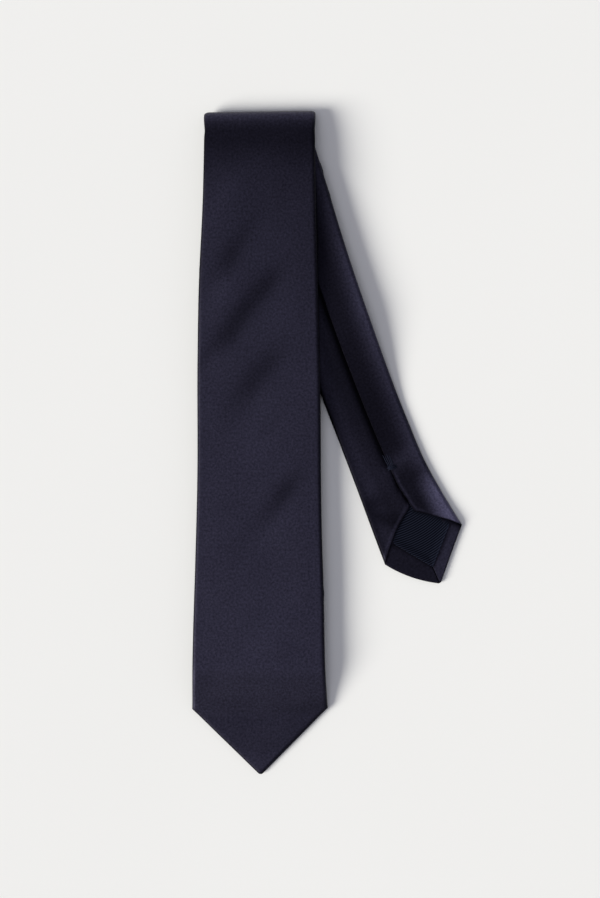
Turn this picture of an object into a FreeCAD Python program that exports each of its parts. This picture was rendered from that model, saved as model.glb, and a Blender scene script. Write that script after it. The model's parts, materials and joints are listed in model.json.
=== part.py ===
import FreeCAD, Part
import math
import os

# A folded necktie, lying face up on a table.  The cloth runs as one long padded strip:
#   front blade (face up, on top) -> top roll -> lower layer (face down, on the table)
#   -> bottom fold -> upper layer (face up) -> inner fold -> tail (back up, fanned out to +X).
# Frame: +X to the right, +Y towards the top roll, +Z up from the table.  The origin lies on the
# flat underside, on the blade's centre line, under the axis of the top roll.  Lengths in mm.

# ---- Driving dimensions -------------------------------------------------------------------
LAYER = 3.4                 # thickness of one padded strip
SKIN = 0.45                 # shell cloth
TIPPING = 0.3               # tipping cloth that lines each point
THREAD = 0.25               # sewing thread
EASE = 0.05                 # slack between cloth layers inside the strip
LAYER_GAP = 0.4             # air between two stacked strips
BODY_GAP = 0.2              # cut between two bodies at a bend
WRAP_INSET = 0.8            # room taken by the shell's folded side edge

ROLL_DEPTH = 12.0           # axis of the top roll to its crest
BLADE_LENGTH = 389.0        # crest of the roll to the front point
FRONT_POINT = 38.3          # shoulders to the point, front
FRONT_SHOULDER = 40.0       # half width at the shoulders
FRONT_WIDTHS = ((0.0, 31.9), (0.2, 33.6), (0.42, 35.3), (0.75, 36.9), (0.93, 38.6))  # share, half width
FRONT_TIP_REACH = 135.0     # length that lifts at the front point
FRONT_OPENING = 62.0        # apex of the back opening to the point
FRONT_TIPPING_REACH = 100.0
FRONT_HEM = 9.0             # folded hem along the point
FRONT_TACK_REACH = 100.0    # bar tack to the point
BLADE_REST_Y = (-88.0, -198.0)     # blade sinks onto the layers over this stretch
BLADE_DROP_Y = (-313.0, -344.0)    # blade drops to the table past the bottom fold
KEEPER_GAP = 1.2            # room under the blade for the keeper loop
TAIL_CLEARANCE = 0.8        # room above the tail under the blade

BOTTOM_FOLD_Y = -306.4      # axis of the bottom fold
LOWER_WIDTHS = ((1.0, 31.8), (0.65, 26.0), (0.0, 20.0))
UPPER_HALF_WIDTH = 20.3
INNER_FOLD_X = 4.2          # the inner fold sits a little to the right
INNER_FOLD_Y = -5.0         # axis of the inner fold, tucked in under the top roll

TAIL_PIVOT = (17.3, -36.1)  # the tail fans about this point
TAIL_HEADING = 17.2         # degrees from -Y towards +X at the pivot
TAIL_TURN = 8.0             # further turn along the tail
TAIL_LENGTH = 220.0         # pivot to shoulders
TAIL_WIDTHS = ((0.0, 21.3), (0.5, 21.0), (0.75, 21.4), (0.9, 22.8))
TAIL_RIGHT_CORNER = (0.3, 24.0)    # along, across, from the middle of the shoulders
TAIL_LEFT_CORNER = (2.2, -26.9)
TAIL_POINT = (24.7, -2.8)
TAIL_DROP = (76.0, 144.0)   # the tail drops to the table over this stretch
TAIL_TIP_START = 150.0      # where the tail's end lifts
TAIL_OPENING = 203.0        # apex of the back opening, from the pivot
TAIL_TIPPING_START = 178.0
TAIL_HEM = 7.5
TAIL_TACK = 172.0
TAIL_FAN = 30.0             # degrees the tail can swing out

KEEPER_Y = -187.0
KEEPER_LENGTH = 46.0
KEEPER_WIDTH = 14.0
KEEPER_THICK = 0.5
KEEPER_AIR = 0.3            # the keeper hangs this far above the layers
KEEPER_TACK = (1.5, 0.4, 1.0)      # inset from the band's end, half width, margin
BAR_TACK = (3.0, 8.0, 0.4)  # across, along, thick
SLIP_PITCH = 15             # slip stitch, from one bar to the next
SLIP_LENGTH = 9.0
SLIP_MARGIN = 5             # first bar past the place where the blade comes to rest
NECK_SLIP_START = -10.0
TAIL_SLIP = (12, 8.0, 10)   # pitch, length, margin before the drop
BIAS_PITCH = 2.5            # joining seams, stitch to stitch
BIAS_HALF = 0.6             # half a bias stitch, along X and along Y
HEM_STITCH_GAP = 1.0        # hem's edge to its stitches
FRONT_HEM_STITCHES = (4, 2.0, 4.0, 1.6, 1.5)        # count, start, pitch, across, along
TAIL_HEM_STITCHES = (3, 2.0, 3.0, 1.2, 1.1)
TAIL_HEM_SLOPE = 0.95
FRONT_SEAM_Y = -262.0       # bias seam between blade cloth and neck cloth
TAIL_SEAM_Y = -38.0         # bias seam between neck cloth and tail cloth

# ---- Derived levels and places ------------------------------------------------------------
FOLD_Y = ROLL_DEPTH - LAYER
FRONT_TIP_Y = ROLL_DEPTH - BLADE_LENGTH
FRONT_SHOULDER_Y = FRONT_TIP_Y + FRONT_POINT
FRONT_TIP_HINGE_Y = FRONT_TIP_Y + FRONT_TIP_REACH
STEP = LAYER + LAYER_GAP
UPPER_Z = STEP
TAIL_Z = 2 * STEP
BLADE_TOP_Z = TAIL_Z + LAYER + TAIL_CLEARANCE
BLADE_MID_Z = UPPER_Z + LAYER + KEEPER_GAP
FOLD_OUTER = LAYER + LAYER_GAP / 2
FOLD_INNER = LAYER_GAP / 2
LINING_LOW = SKIN + TIPPING + EASE      # interlining, above the back face
LINING_HIGH = LAYER - SKIN - EASE
WIDE = 80.0                 # wider than any strip
TALL = 40.0
BELOW = -1.0                # under the table
SPARE = 40.0                # paths and cuts run on this far past an outline
OVERLAP = 1.0
S_CURVE = 0.45              # handles of an S-curve, as a share of its length
CORNER_SHIFT = 0.4          # how an inset outline's corners and tip move back
TIP_SHIFT = 1.4
BRANCH_REACH = 20.0         # branch past the tail's pivot, before the tail's end is cut away
FAN_STEP = 5
SEAM_TURN = 45.0            # bias seams, degrees

FRONT_PATH = ((FOLD_Y, BLADE_TOP_Z), (BLADE_REST_Y[0], BLADE_TOP_Z), (BLADE_REST_Y[1], BLADE_MID_Z),
              (BLADE_DROP_Y[0], BLADE_MID_Z), (BLADE_DROP_Y[1], 0.0),
              (FRONT_TIP_Y - SPARE, 0.0))
TAIL_PATH = ((SPARE, TAIL_Z), (-TAIL_DROP[0], TAIL_Z), (-TAIL_DROP[1], 0.0), (-TAIL_LENGTH - SPARE, 0.0))


def vec(x, y, z=0.0):
    return FreeCAD.Vector(x, y, z)


def box(x0, x1, y0, y1, z0, z1):
    return Part.makeBox(x1 - x0, y1 - y0, z1 - z0, vec(x0, y0, z0))


def fuse(shapes):
    """One shape from many that may touch or stand apart."""
    first, rest = shapes[0], shapes[1:]
    return first.multiFuse(rest).removeSplitter() if rest else first


# ---- Plans: outlines seen from above, raised into prisms ----------------------------------
def prism(edges):
    """A tall prism from a closed ring of plan edges."""
    face = Part.Face(Part.Wire(Part.__sortEdges__(edges)))
    face.translate(vec(0, 0, -TALL))
    return face.extrude(vec(0, 0, 3 * TALL))


def polygon(points):
    corners = [vec(x, y) for x, y in points]
    return [Part.makeLine(a, b) for a, b in zip(corners, corners[1:] + corners[:1])]


def smooth(points):
    curve = Part.BSplineCurve()
    curve.interpolate([vec(x, y) for x, y in points])
    return curve.toShape()


def lines(points):
    return [Part.makeLine(vec(*a), vec(*b)) for a, b in zip(points, points[1:])]


def front_plan(inset=0.0):
    """The front blade: tapering sides, two shoulders and a point."""
    run = FOLD_Y - FRONT_SHOULDER_Y
    side = [(width, FOLD_Y - part * run) for part, width in FRONT_WIDTHS]
    right = (FRONT_SHOULDER, FRONT_SHOULDER_Y)
    tip = (0.0, FRONT_TIP_Y)
    left = (-right[0], right[1])
    slant = math.hypot(FRONT_SHOULDER, FRONT_POINT)
    half_angle = math.atan2(FRONT_SHOULDER, FRONT_POINT)
    tip = (0.0, tip[1] + inset / math.sin(half_angle))
    drop = inset * (slant - FRONT_POINT) / FRONT_SHOULDER
    right = (right[0] - inset, right[1] + drop)
    left = (-right[0], right[1])
    side = [(x - inset, y) for x, y in side]
    edges = [smooth(side + [right])]
    edges += lines([right, tip, left])
    edges.append(smooth([left] + [(-x, y) for x, y in reversed(side)]))
    edges.append(Part.makeLine(vec(-side[0][0], FOLD_Y), vec(side[0][0], FOLD_Y)))
    return prism(edges)


def lower_plan(inset=0.0):
    """The layer on the table narrows from the roll to the bottom fold."""
    low, high = BOTTOM_FOLD_Y - FOLD_OUTER, FOLD_Y
    side = [(width - inset, low + part * (high - low)) for part, width in LOWER_WIDTHS]
    mirrored = [(-x, y) for x, y in reversed(side)]
    edges = [smooth(side), smooth(mirrored)]
    edges += lines([side[-1], mirrored[0]]) + lines([mirrored[-1], side[0]])
    return prism(edges)


def upper_plan(inset=0.0):
    """The layer above it leans over to the inner fold's place."""
    half = UPPER_HALF_WIDTH - inset
    low, high = BOTTOM_FOLD_Y - FOLD_OUTER, FOLD_Y
    return prism(polygon([(-half, low), (half, low), (INNER_FOLD_X + half, high),
                          (INNER_FOLD_X - half, high)]))


def tail_axis(s):
    """Point and heading (radians) of the tail's centre line, s mm past the pivot."""
    start = math.radians(TAIL_HEADING)
    turned = math.radians(TAIL_TURN) * s / TAIL_LENGTH
    chord_heading = start + turned / 2
    shrink = math.sin(turned / 2) / (turned / 2) if turned else 1.0
    chord = s * shrink
    x = TAIL_PIVOT[0] + chord * math.sin(chord_heading)
    y = TAIL_PIVOT[1] - chord * math.cos(chord_heading)
    return (x, y), start + turned


def tail_place(s, across):
    """A plan point s mm along the tail and `across` mm to the right of its centre line."""
    (x, y), heading = tail_axis(s)
    return x + across * math.cos(heading), y + across * math.sin(heading)


def tail_plan(inset=0.0):
    """The tail: a round end about the pivot, curved sides, shoulders and a point."""
    stations = [(part * TAIL_LENGTH, width - inset) for part, width in TAIL_WIDTHS]
    shoulders = TAIL_LENGTH - CORNER_SHIFT * inset
    right_corner = (shoulders + TAIL_RIGHT_CORNER[0], TAIL_RIGHT_CORNER[1] - inset)
    left_corner = (shoulders + TAIL_LEFT_CORNER[0], TAIL_LEFT_CORNER[1] + inset)
    tip = (TAIL_LENGTH + TAIL_POINT[0] - TIP_SHIFT * inset, TAIL_POINT[1])
    right = [tail_place(s, w) for s, w in stations + [right_corner]]
    left = [tail_place(s, w) for s, w in [left_corner] + [(s, -w) for s, w in reversed(stations)]]
    crown = tail_place(-stations[0][1], 0.0)
    edges = [smooth(right), smooth(left)]
    edges += lines([right[-1], tail_place(*tip), left[0]])
    edges.append(Part.Arc(vec(*left[-1]), vec(*crown), vec(*right[0])).toShape())
    return prism(edges)


def branch_plan(inset=0.0):
    """The short stretch between the inner fold and the tail's round end."""
    half = UPPER_HALF_WIDTH - inset
    wide = TAIL_WIDTHS[0][1] - inset
    points = [(INNER_FOLD_X - half, FOLD_Y), tail_place(0, -wide), tail_place(0, wide),
              (INNER_FOLD_X + half, FOLD_Y)]
    return prism(polygon(points))


# ---- Sections: the strip seen from the side, swept across its width -----------------------
def rise(stations, lift):
    """Edges through (along, height) stations; a change of height is an S-curve."""
    edges = []
    for (a0, h0), (a1, h1) in zip(stations, stations[1:]):
        start = vec(0, a0, h0 + lift)
        end = vec(0, a1, h1 + lift)
        if h0 == h1:
            edges.append(Part.makeLine(start, end))
            continue
        reach = vec(0, S_CURVE * (a1 - a0), 0)
        curve = Part.BezierCurve()
        curve.setPoles([start, start + reach, end - reach, end])
        edges.append(curve.toShape())
    return edges


def sweep_across(edges):
    face = Part.Face(Part.Wire(Part.__sortEdges__(edges)))
    face.translate(vec(-WIDE, 0, 0))
    return face.extrude(vec(2 * WIDE, 0, 0))


def slab(stations, low, high):
    """The part of a strip between two heights above its underside."""
    a0, h0 = stations[0]
    a1, h1 = stations[-1]
    ends = [Part.makeLine(vec(0, a, h + low), vec(0, a, h + high)) for a, h in ((a0, h0), (a1, h1))]
    return sweep_across(rise(stations, low) + rise(stations, high) + ends)


def half_ring(axis_y, axis_z, inner, outer, towards):
    """Half of a pipe wall along X, on the +Y or -Y side of its axis."""
    def disc(radius):
        return Part.makeCylinder(radius, 2 * WIDE, vec(-WIDE, axis_y, axis_z), vec(1, 0, 0))
    ring = disc(outer).cut(disc(inner))
    if towards > 0:
        side = box(-WIDE, WIDE, axis_y, axis_y + TALL, -TALL, TALL)
    else:
        side = box(-WIDE, WIDE, axis_y - TALL, axis_y, -TALL, TALL)
    return ring.common(side)


def tail_slab(low, high):
    """The tail's section, turned to the chord of its centre line."""
    section = slab(TAIL_PATH, low, high)
    section.rotate(vec(0, 0), vec(0, 0, 1), TAIL_HEADING + TAIL_TURN / 2)
    section.translate(vec(*TAIL_PIVOT))
    return section


# ---- Whole strips, cut later at the bends -------------------------------------------------
# Heights run from the strip's lower side.  The back of the cloth is the lower side of the front
# blade and of the upper layer, and the upper side of the lower layer and of the tail.
def flipped(low, high):
    return LAYER - high, LAYER - low


def front_layer(low, high, inset):
    return slab(FRONT_PATH, low, high).common(front_plan(inset))


def tail_layer(low, high, inset):
    return tail_slab(*flipped(low, high)).common(tail_plan(inset))


def roll_layer(low, high, inset):
    """The upright wall of the top roll; its back looks inwards, to -Y."""
    half = FRONT_WIDTHS[0][1] - inset
    return box(-half, half, FOLD_Y + low, FOLD_Y + high, LAYER + BODY_GAP, BLADE_TOP_Z - BODY_GAP)


def neck_layers(low, high, inset):
    """Lower layer, bottom fold, upper layer, inner fold and branch, as separate stretches."""
    flat_low, flat_high = flipped(low, high)
    lower = box(-WIDE, WIDE, BOTTOM_FOLD_Y, FOLD_Y - BODY_GAP, flat_low, flat_high)
    upper = box(-WIDE, WIDE, BOTTOM_FOLD_Y, INNER_FOLD_Y, UPPER_Z + low, UPPER_Z + high)
    branch = box(-WIDE, WIDE, TAIL_PIVOT[1] - BRANCH_REACH, INNER_FOLD_Y,
                 TAIL_Z + flat_low, TAIL_Z + flat_high)
    bottom = half_ring(BOTTOM_FOLD_Y, LAYER + FOLD_INNER, FOLD_INNER + low, FOLD_INNER + high, -1)
    inner = half_ring(INNER_FOLD_Y, TAIL_Z - FOLD_INNER, FOLD_INNER + flat_low, FOLD_INNER + flat_high, 1)
    plan = upper_plan(inset)
    for angle in range(0, int(TAIL_FAN) + 1, FAN_STEP):
        swept = tail_plan(-BODY_GAP)
        swept.rotate(vec(*TAIL_PIVOT), vec(0, 0, 1), angle)
        branch = branch.cut(swept)
    return {"lower": lower.common(lower_plan(inset)), "bottom": bottom.common(plan),
            "upper": upper.common(plan), "inner": inner.common(plan),
            "branch": branch.common(branch_plan(inset))}


def seam_cut(y0, y1, z0, z1):
    """The slit where the shell's two edges meet on the back."""
    return box(-THREAD / 2, THREAD / 2, y0, y1, z0, z1)


# ---- Front blade, its point and the top roll ----------------------------------------------
def front_half(shape, is_tip):
    if is_tip:
        block = box(-WIDE, WIDE, FRONT_TIP_Y - SPARE, FRONT_TIP_HINGE_Y - BODY_GAP, BELOW, TALL)
    else:
        block = box(-WIDE, WIDE, FRONT_TIP_HINGE_Y, FOLD_Y - BODY_GAP, BELOW, TALL)
    return shape.common(block)


def front_shell_whole():
    shell = front_layer(0, LAYER, 0).cut(front_layer(SKIN, LAYER - SKIN, WRAP_INSET))
    apex = FRONT_TIP_Y + FRONT_OPENING
    hem_tip = FRONT_TIP_Y + FRONT_HEM * math.sqrt(2)
    corner = FRONT_SHOULDER - WRAP_INSET
    left = [(-corner, FRONT_SHOULDER_Y), (-corner + FRONT_HEM, FRONT_SHOULDER_Y)]
    right = [(corner - FRONT_HEM, FRONT_SHOULDER_Y), (corner, FRONT_SHOULDER_Y)]
    opening = prism(polygon([(0, apex)] + left + [(0, hem_tip)] + right))
    back_skin = slab(FRONT_PATH, BELOW, SKIN)
    seam = box(-THREAD / 2, THREAD / 2, apex - OVERLAP, FOLD_Y, BELOW, TALL)
    return shell.cut(back_skin.common(opening)).cut(back_skin.common(seam))


def front_tipping():
    panel = front_layer(SKIN + EASE / 2, SKIN + TIPPING, WRAP_INSET + EASE)
    return panel.common(box(-WIDE, WIDE, FRONT_TIP_Y, FRONT_TIP_Y + FRONT_TIPPING_REACH, BELOW, TALL))


def thread_bar(x0, y0, x1, y1, z):
    """One stitch: a short length of thread lying level."""
    run = vec(x1 - x0, y1 - y0)
    return Part.makeCylinder(THREAD / 2, run.Length, vec(x0, y0, z), run)


def front_tipping_stitches():
    """Slip stitches that hold the tipping to the hem, along both sides of the point."""
    stitches = []
    reach = FRONT_TIP_Y + (FRONT_HEM + HEM_STITCH_GAP) * math.sqrt(2)
    count, start, pitch, across, along = FRONT_HEM_STITCHES
    for side in (-1, 1):
        for step in range(count):
            x = side * (start + pitch * step)
            y = reach + abs(x) * FRONT_POINT / FRONT_SHOULDER
            stitches.append(thread_bar(x, y, x + side * across, y + along, SKIN - THREAD))
    return Part.makeCompound(stitches)


def slip_bars(first_y, last_y, z):
    """Slip stitch bars down the middle of the back, from first_y to before last_y."""
    rows = range(int(first_y), int(last_y) + SLIP_PITCH, -SLIP_PITCH)
    return [thread_bar(0, y, 0, y - SLIP_LENGTH, z) for y in rows]


def front_slip_stitch():
    """The long loose stitch that closes the back, where it lies level."""
    inside = SKIN + EASE + THREAD / 2
    bars = slip_bars(BLADE_REST_Y[1] - SLIP_MARGIN, FRONT_TIP_HINGE_Y, BLADE_MID_Z + inside)
    bars += slip_bars(0, BLADE_REST_Y[0], BLADE_TOP_Z + inside)
    return Part.makeCompound(bars)


def keeper_loop():
    """A flat band across the back that holds the tail's end."""
    half = KEEPER_LENGTH / 2
    band = box(-half, half, KEEPER_Y - KEEPER_WIDTH, KEEPER_Y, 0, KEEPER_THICK)
    band.translate(vec(0, 0, UPPER_Z + LAYER + KEEPER_AIR))
    return band


def keeper_loop_tacks():
    """Two short rows of thread between the band's ends and the blade's back."""
    low = UPPER_Z + LAYER + KEEPER_AIR + KEEPER_THICK
    inset, half, margin = KEEPER_TACK
    tacks = []
    for side in (-1, 1):
        x = side * (KEEPER_LENGTH / 2 - inset)
        tacks.append(box(x - half, x + half, KEEPER_Y - KEEPER_WIDTH + margin, KEEPER_Y - margin,
                         low, BLADE_MID_Z))
    return Part.makeCompound(tacks)


def front_bar_tack():
    across, along, thick = BAR_TACK
    y = FRONT_TIP_Y + FRONT_TACK_REACH
    return box(-across / 2, across / 2, y - along / 2, y + along / 2, BLADE_MID_Z - thick, BLADE_MID_Z)


# ---- Neck: lower and upper layers with both folds -----------------------------------------
def bias_block(y, z0, z1, above):
    """Everything on one side of a bias seam across the strip."""
    far = 6 * WIDE
    block = box(-far, far, 0, far, z0, z1)
    if not above:
        block.translate(vec(0, -far, 0))
    block.rotate(vec(0, 0), vec(0, 0, 1), SEAM_TURN)
    block.translate(vec(0, y, 0))
    return block


def neck_shell_stretches():
    outer = neck_layers(0, LAYER, 0)
    cavity = neck_layers(SKIN, LAYER - SKIN, WRAP_INSET)
    return {name: outer[name].cut(cavity[name]) for name in outer}


def neck_shells():
    """Three cloths: end of the blade cloth, neck cloth, start of the tail cloth."""
    shell = neck_shell_stretches()
    split = LAYER + LAYER_GAP / 2
    lower_slit = seam_cut(BOTTOM_FOLD_Y, FOLD_Y, LAYER - SKIN, split)
    upper_slit = seam_cut(BOTTOM_FOLD_Y, INNER_FOLD_Y, split, UPPER_Z + SKIN)
    lower = shell["lower"].cut(lower_slit)
    upper = shell["upper"].cut(upper_slit)
    front_part = lower.common(bias_block(FRONT_SEAM_Y, BELOW, split, True))
    gusset = fuse([lower.common(bias_block(FRONT_SEAM_Y, BELOW, split, False)), shell["bottom"],
                   upper.common(bias_block(TAIL_SEAM_Y, split, TALL, False))])
    tail_part = fuse([upper.common(bias_block(TAIL_SEAM_Y, split, TALL, True)), shell["inner"],
                      shell["branch"]])
    return front_part, gusset, tail_part


def neck_interlining():
    stretches = neck_layers(LINING_LOW, LINING_HIGH, WRAP_INSET + EASE)
    return fuse(list(stretches.values()))


def bias_stitches(y, z, half_width):
    """The joining seam's stitches, in a slanting row."""
    count = int(half_width / BIAS_PITCH)
    bars = []
    for k in range(-count + 2, count - 1):
        x = BIAS_PITCH * k
        bars.append(thread_bar(x - BIAS_HALF, y + x - BIAS_HALF, x + BIAS_HALF, y + x + BIAS_HALF, z))
    return Part.makeCompound(bars)


def neck_slip_stitch():
    """Slip stitch bars inside the lower and the upper layer."""
    lower = LAYER - SKIN - EASE - THREAD / 2
    upper = UPPER_Z + SKIN + EASE + THREAD / 2
    bars = slip_bars(NECK_SLIP_START, FRONT_SEAM_Y, lower)
    bars += slip_bars(TAIL_SEAM_Y - SLIP_PITCH, BOTTOM_FOLD_Y, upper)
    return Part.makeCompound(bars)


# ---- Tail and its point -------------------------------------------------------------------
def tail_half(shape, is_tip):
    """Cut square across the tail where its end lifts."""
    (x, y), heading = tail_axis(TAIL_TIP_START)
    block = box(-WIDE, WIDE, 0, 4 * WIDE, -TALL, TALL)
    if is_tip:
        block = box(-WIDE, WIDE, -4 * WIDE, -BODY_GAP, -TALL, TALL)
    block.rotate(vec(0, 0), vec(0, 0, 1), math.degrees(heading))
    block.translate(vec(x, y))
    return shape.common(block)


def tail_shell_whole():
    shell = tail_layer(0, LAYER, 0).cut(tail_layer(SKIN, LAYER - SKIN, WRAP_INSET))
    shoulder = TAIL_LENGTH
    right = TAIL_RIGHT_CORNER[1] - WRAP_INSET
    left = TAIL_LEFT_CORNER[1] + WRAP_INSET
    tip = TAIL_LENGTH + TAIL_POINT[0] - TAIL_HEM * math.sqrt(2)
    ring = [(TAIL_OPENING, 0), (shoulder, left), (shoulder, left + TAIL_HEM), (tip, TAIL_POINT[1]),
            (shoulder, right - TAIL_HEM), (shoulder, right)]
    opening = prism(polygon([tail_place(s, across) for s, across in ring]))
    places = [share * (TAIL_OPENING + OVERLAP) for share in (0.0, 0.4, 0.8, 1.0)]
    slit_start = [tail_place(s, -THREAD / 2) for s in places]
    slit_end = [tail_place(s, THREAD / 2) for s in reversed(places)]
    slit = prism([smooth(slit_start), smooth(slit_end)] + lines([slit_start[-1], slit_end[0]])
                 + lines([slit_end[-1], slit_start[0]]))
    back_skin = tail_slab(LAYER - SKIN, LAYER + OVERLAP)
    return shell.cut(back_skin.common(opening)).cut(back_skin.common(slit))


def tail_tipping():
    panel = tail_layer(SKIN + EASE / 2, SKIN + TIPPING, WRAP_INSET + EASE)
    (x, y), heading = tail_axis(TAIL_TIPPING_START)
    block = box(-WIDE, WIDE, -4 * WIDE, 0, -TALL, TALL)
    block.rotate(vec(0, 0), vec(0, 0, 1), math.degrees(heading))
    block.translate(vec(x, y))
    return panel.common(block)


def tail_tipping_stitches():
    """Slip stitches along the hem of the tail's point."""
    z = LAYER - SKIN + THREAD
    reach = TAIL_LENGTH + TAIL_POINT[0] - (TAIL_HEM + HEM_STITCH_GAP) * math.sqrt(2)
    count, start, pitch, step_across, step_along = TAIL_HEM_STITCHES
    stitches = []
    for side in (-1, 1):
        for step in range(count):
            out = start + pitch * step
            across = TAIL_POINT[1] + side * out
            along = reach - out * TAIL_HEM_SLOPE
            x0, y0 = tail_place(along, across)
            x1, y1 = tail_place(along - step_along, across + side * step_across)
            stitches.append(thread_bar(x0, y0, x1, y1, z))
    return Part.makeCompound(stitches)


def tail_bar_tack():
    across, along, thick = BAR_TACK
    tack = box(-across / 2, across / 2, -along / 2, along / 2, LAYER, LAYER + thick)
    (x, y), heading = tail_axis(TAIL_TACK)
    tack.rotate(vec(0, 0), vec(0, 0, 1), math.degrees(heading))
    tack.translate(vec(x, y))
    return tack


def tail_slip_stitch():
    """Slip stitch bars inside the tail, where it lies level."""
    z = TAIL_Z + LAYER - SKIN - EASE - THREAD / 2
    pitch, length, margin = TAIL_SLIP
    bars = []
    for s in range(0, int(TAIL_DROP[0]) - margin, pitch):
        x0, y0 = tail_place(s, 0)
        x1, y1 = tail_place(s + length, 0)
        bars.append(thread_bar(x0, y0, x1, y1, z))
    return Part.makeCompound(bars)


# ---- Assembly -----------------------------------------------------------------------------
def build():
    front = front_shell_whole()
    front_lining = front_layer(LINING_LOW, LINING_HIGH, WRAP_INSET + EASE)
    tail = tail_shell_whole()
    tail_lining = tail_layer(LINING_LOW, LINING_HIGH, WRAP_INSET + EASE)
    neck_front, neck_gusset, neck_tail = neck_shells()
    roll_shell = roll_layer(0, LAYER, 0).cut(
        box(-FRONT_WIDTHS[0][1] + WRAP_INSET, FRONT_WIDTHS[0][1] - WRAP_INSET,
            FOLD_Y + SKIN, FOLD_Y + LAYER - SKIN, 0, TALL))
    lower_gap_z = LAYER - SKIN - EASE - THREAD / 2
    upper_gap_z = UPPER_Z + SKIN + EASE + THREAD / 2
    return {
        "front_shell": front_half(front, False),
        "front_interlining": front_half(front_lining, False),
        "front_slip_stitch": front_slip_stitch(),
        "keeper_loop": keeper_loop(),
        "keeper_loop_tacks": keeper_loop_tacks(),
        "front_tip_shell": front_half(front, True),
        "front_tip_interlining": front_half(front_lining, True),
        "front_tipping": front_tipping(),
        "front_tipping_stitches": front_tipping_stitches(),
        "front_bar_tack": front_bar_tack(),
        "front_roll_shell": roll_shell,
        "front_roll_interlining": roll_layer(LINING_LOW, LINING_HIGH, WRAP_INSET + EASE),
        "neck_front_shell": neck_front,
        "neck_gusset_shell": neck_gusset,
        "neck_tail_shell": neck_tail,
        "neck_interlining": neck_interlining(),
        "neck_slip_stitch": neck_slip_stitch(),
        "front_joining_seam": bias_stitches(FRONT_SEAM_Y, lower_gap_z, UPPER_HALF_WIDTH),
        "tail_joining_seam": bias_stitches(TAIL_SEAM_Y, upper_gap_z, UPPER_HALF_WIDTH),
        "tail_shell": tail_half(tail, False),
        "tail_interlining": tail_half(tail_lining, False),
        "tail_slip_stitch": tail_slip_stitch(),
        "tail_tip_shell": tail_half(tail, True),
        "tail_tip_interlining": tail_half(tail_lining, True),
        "tail_tipping": tail_tipping(),
        "tail_tipping_stitches": tail_tipping_stitches(),
        "tail_bar_tack": tail_bar_tack(),
    }


os.makedirs("parts", exist_ok=True)
for name, shape in build().items():
    shape.exportStep(f"parts/{name}.step")
    print(name, len(shape.Solids), round(shape.Volume), shape.isValid())
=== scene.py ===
"""The looks of a folded necktie: padded shell, roll, fanned tail, point linings, seams and threads."""
import json
import math

import bmesh
import bpy
import numpy as np
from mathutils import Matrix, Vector

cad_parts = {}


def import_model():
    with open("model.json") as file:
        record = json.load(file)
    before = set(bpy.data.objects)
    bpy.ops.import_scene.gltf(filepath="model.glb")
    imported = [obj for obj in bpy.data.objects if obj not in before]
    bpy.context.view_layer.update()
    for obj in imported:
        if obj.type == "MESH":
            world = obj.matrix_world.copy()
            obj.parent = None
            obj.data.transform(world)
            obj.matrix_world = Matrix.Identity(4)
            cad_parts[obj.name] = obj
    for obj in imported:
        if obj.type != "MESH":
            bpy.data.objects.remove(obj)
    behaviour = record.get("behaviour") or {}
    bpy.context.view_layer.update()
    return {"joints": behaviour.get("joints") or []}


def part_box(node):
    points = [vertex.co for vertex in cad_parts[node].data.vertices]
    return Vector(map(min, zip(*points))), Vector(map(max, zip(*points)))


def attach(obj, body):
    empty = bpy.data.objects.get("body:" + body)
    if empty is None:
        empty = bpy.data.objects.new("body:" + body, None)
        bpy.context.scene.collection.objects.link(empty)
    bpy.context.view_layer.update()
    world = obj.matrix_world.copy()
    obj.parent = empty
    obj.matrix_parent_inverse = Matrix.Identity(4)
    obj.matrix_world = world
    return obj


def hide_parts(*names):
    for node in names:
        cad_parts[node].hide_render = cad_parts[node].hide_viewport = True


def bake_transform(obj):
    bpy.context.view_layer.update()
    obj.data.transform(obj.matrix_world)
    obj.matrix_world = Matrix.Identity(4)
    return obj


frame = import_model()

# ---- Sizes in mm, read from the frame ------------------------------------------------------
MM = 0.001


def box_mm(node):
    low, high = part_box(node)
    return np.array(low) / MM, np.array(high) / MM


def joint_place(name):
    joint = [j for j in frame["joints"] if j["name"] == name][0]
    return np.array(joint["pos_m"]) / MM, np.array(joint["axis"])


roll_low, roll_high = box_mm("front_roll_shell")
point_low, point_high = box_mm("front_tip_shell")
neck_low, neck_high = box_mm("neck_gusset_shell")
LAYER = float(roll_high[1] - roll_low[1])
CREST_Y = float(roll_high[1])
ROLL_HALF = float(roll_high[0])
POINT_Y = float(point_low[1])
SHOULDER_HALF = float(point_high[0])
TOP_Z = float(box_mm("front_shell")[1][2])
BLADE_Z = TOP_Z - LAYER                    # underside of the blade near the roll
REST_Z = float(joint_place("front_tip_bend")[0][2]) - LAYER   # underside where it lies on the layers
BOTTOM_Y = float(neck_low[1])              # crest of the bottom fold
UPPER_Z = float(neck_high[2]) - LAYER      # underside of the upper layer
TAIL_Z = 2 * UPPER_Z                       # underside of the tail at its start
HALF = LAYER / 2

PIVOT, _ = joint_place("tail_fan")
TAIL_HINGE, hinge_axis = joint_place("tail_tip_bend")
FRONT_HINGE, _ = joint_place("front_tip_bend")
hinge_heading = math.atan2(-hinge_axis[1], -hinge_axis[0])
chord = TAIL_HINGE[:2] - PIVOT[:2]
chord_heading = math.atan2(chord[0], -chord[1])
TAIL_HEADING = 2 * chord_heading - hinge_heading       # radians from -Y towards +X, at the pivot
TAIL_BEND = (hinge_heading - TAIL_HEADING) / float(np.hypot(*chord))   # radians per mm

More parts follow.
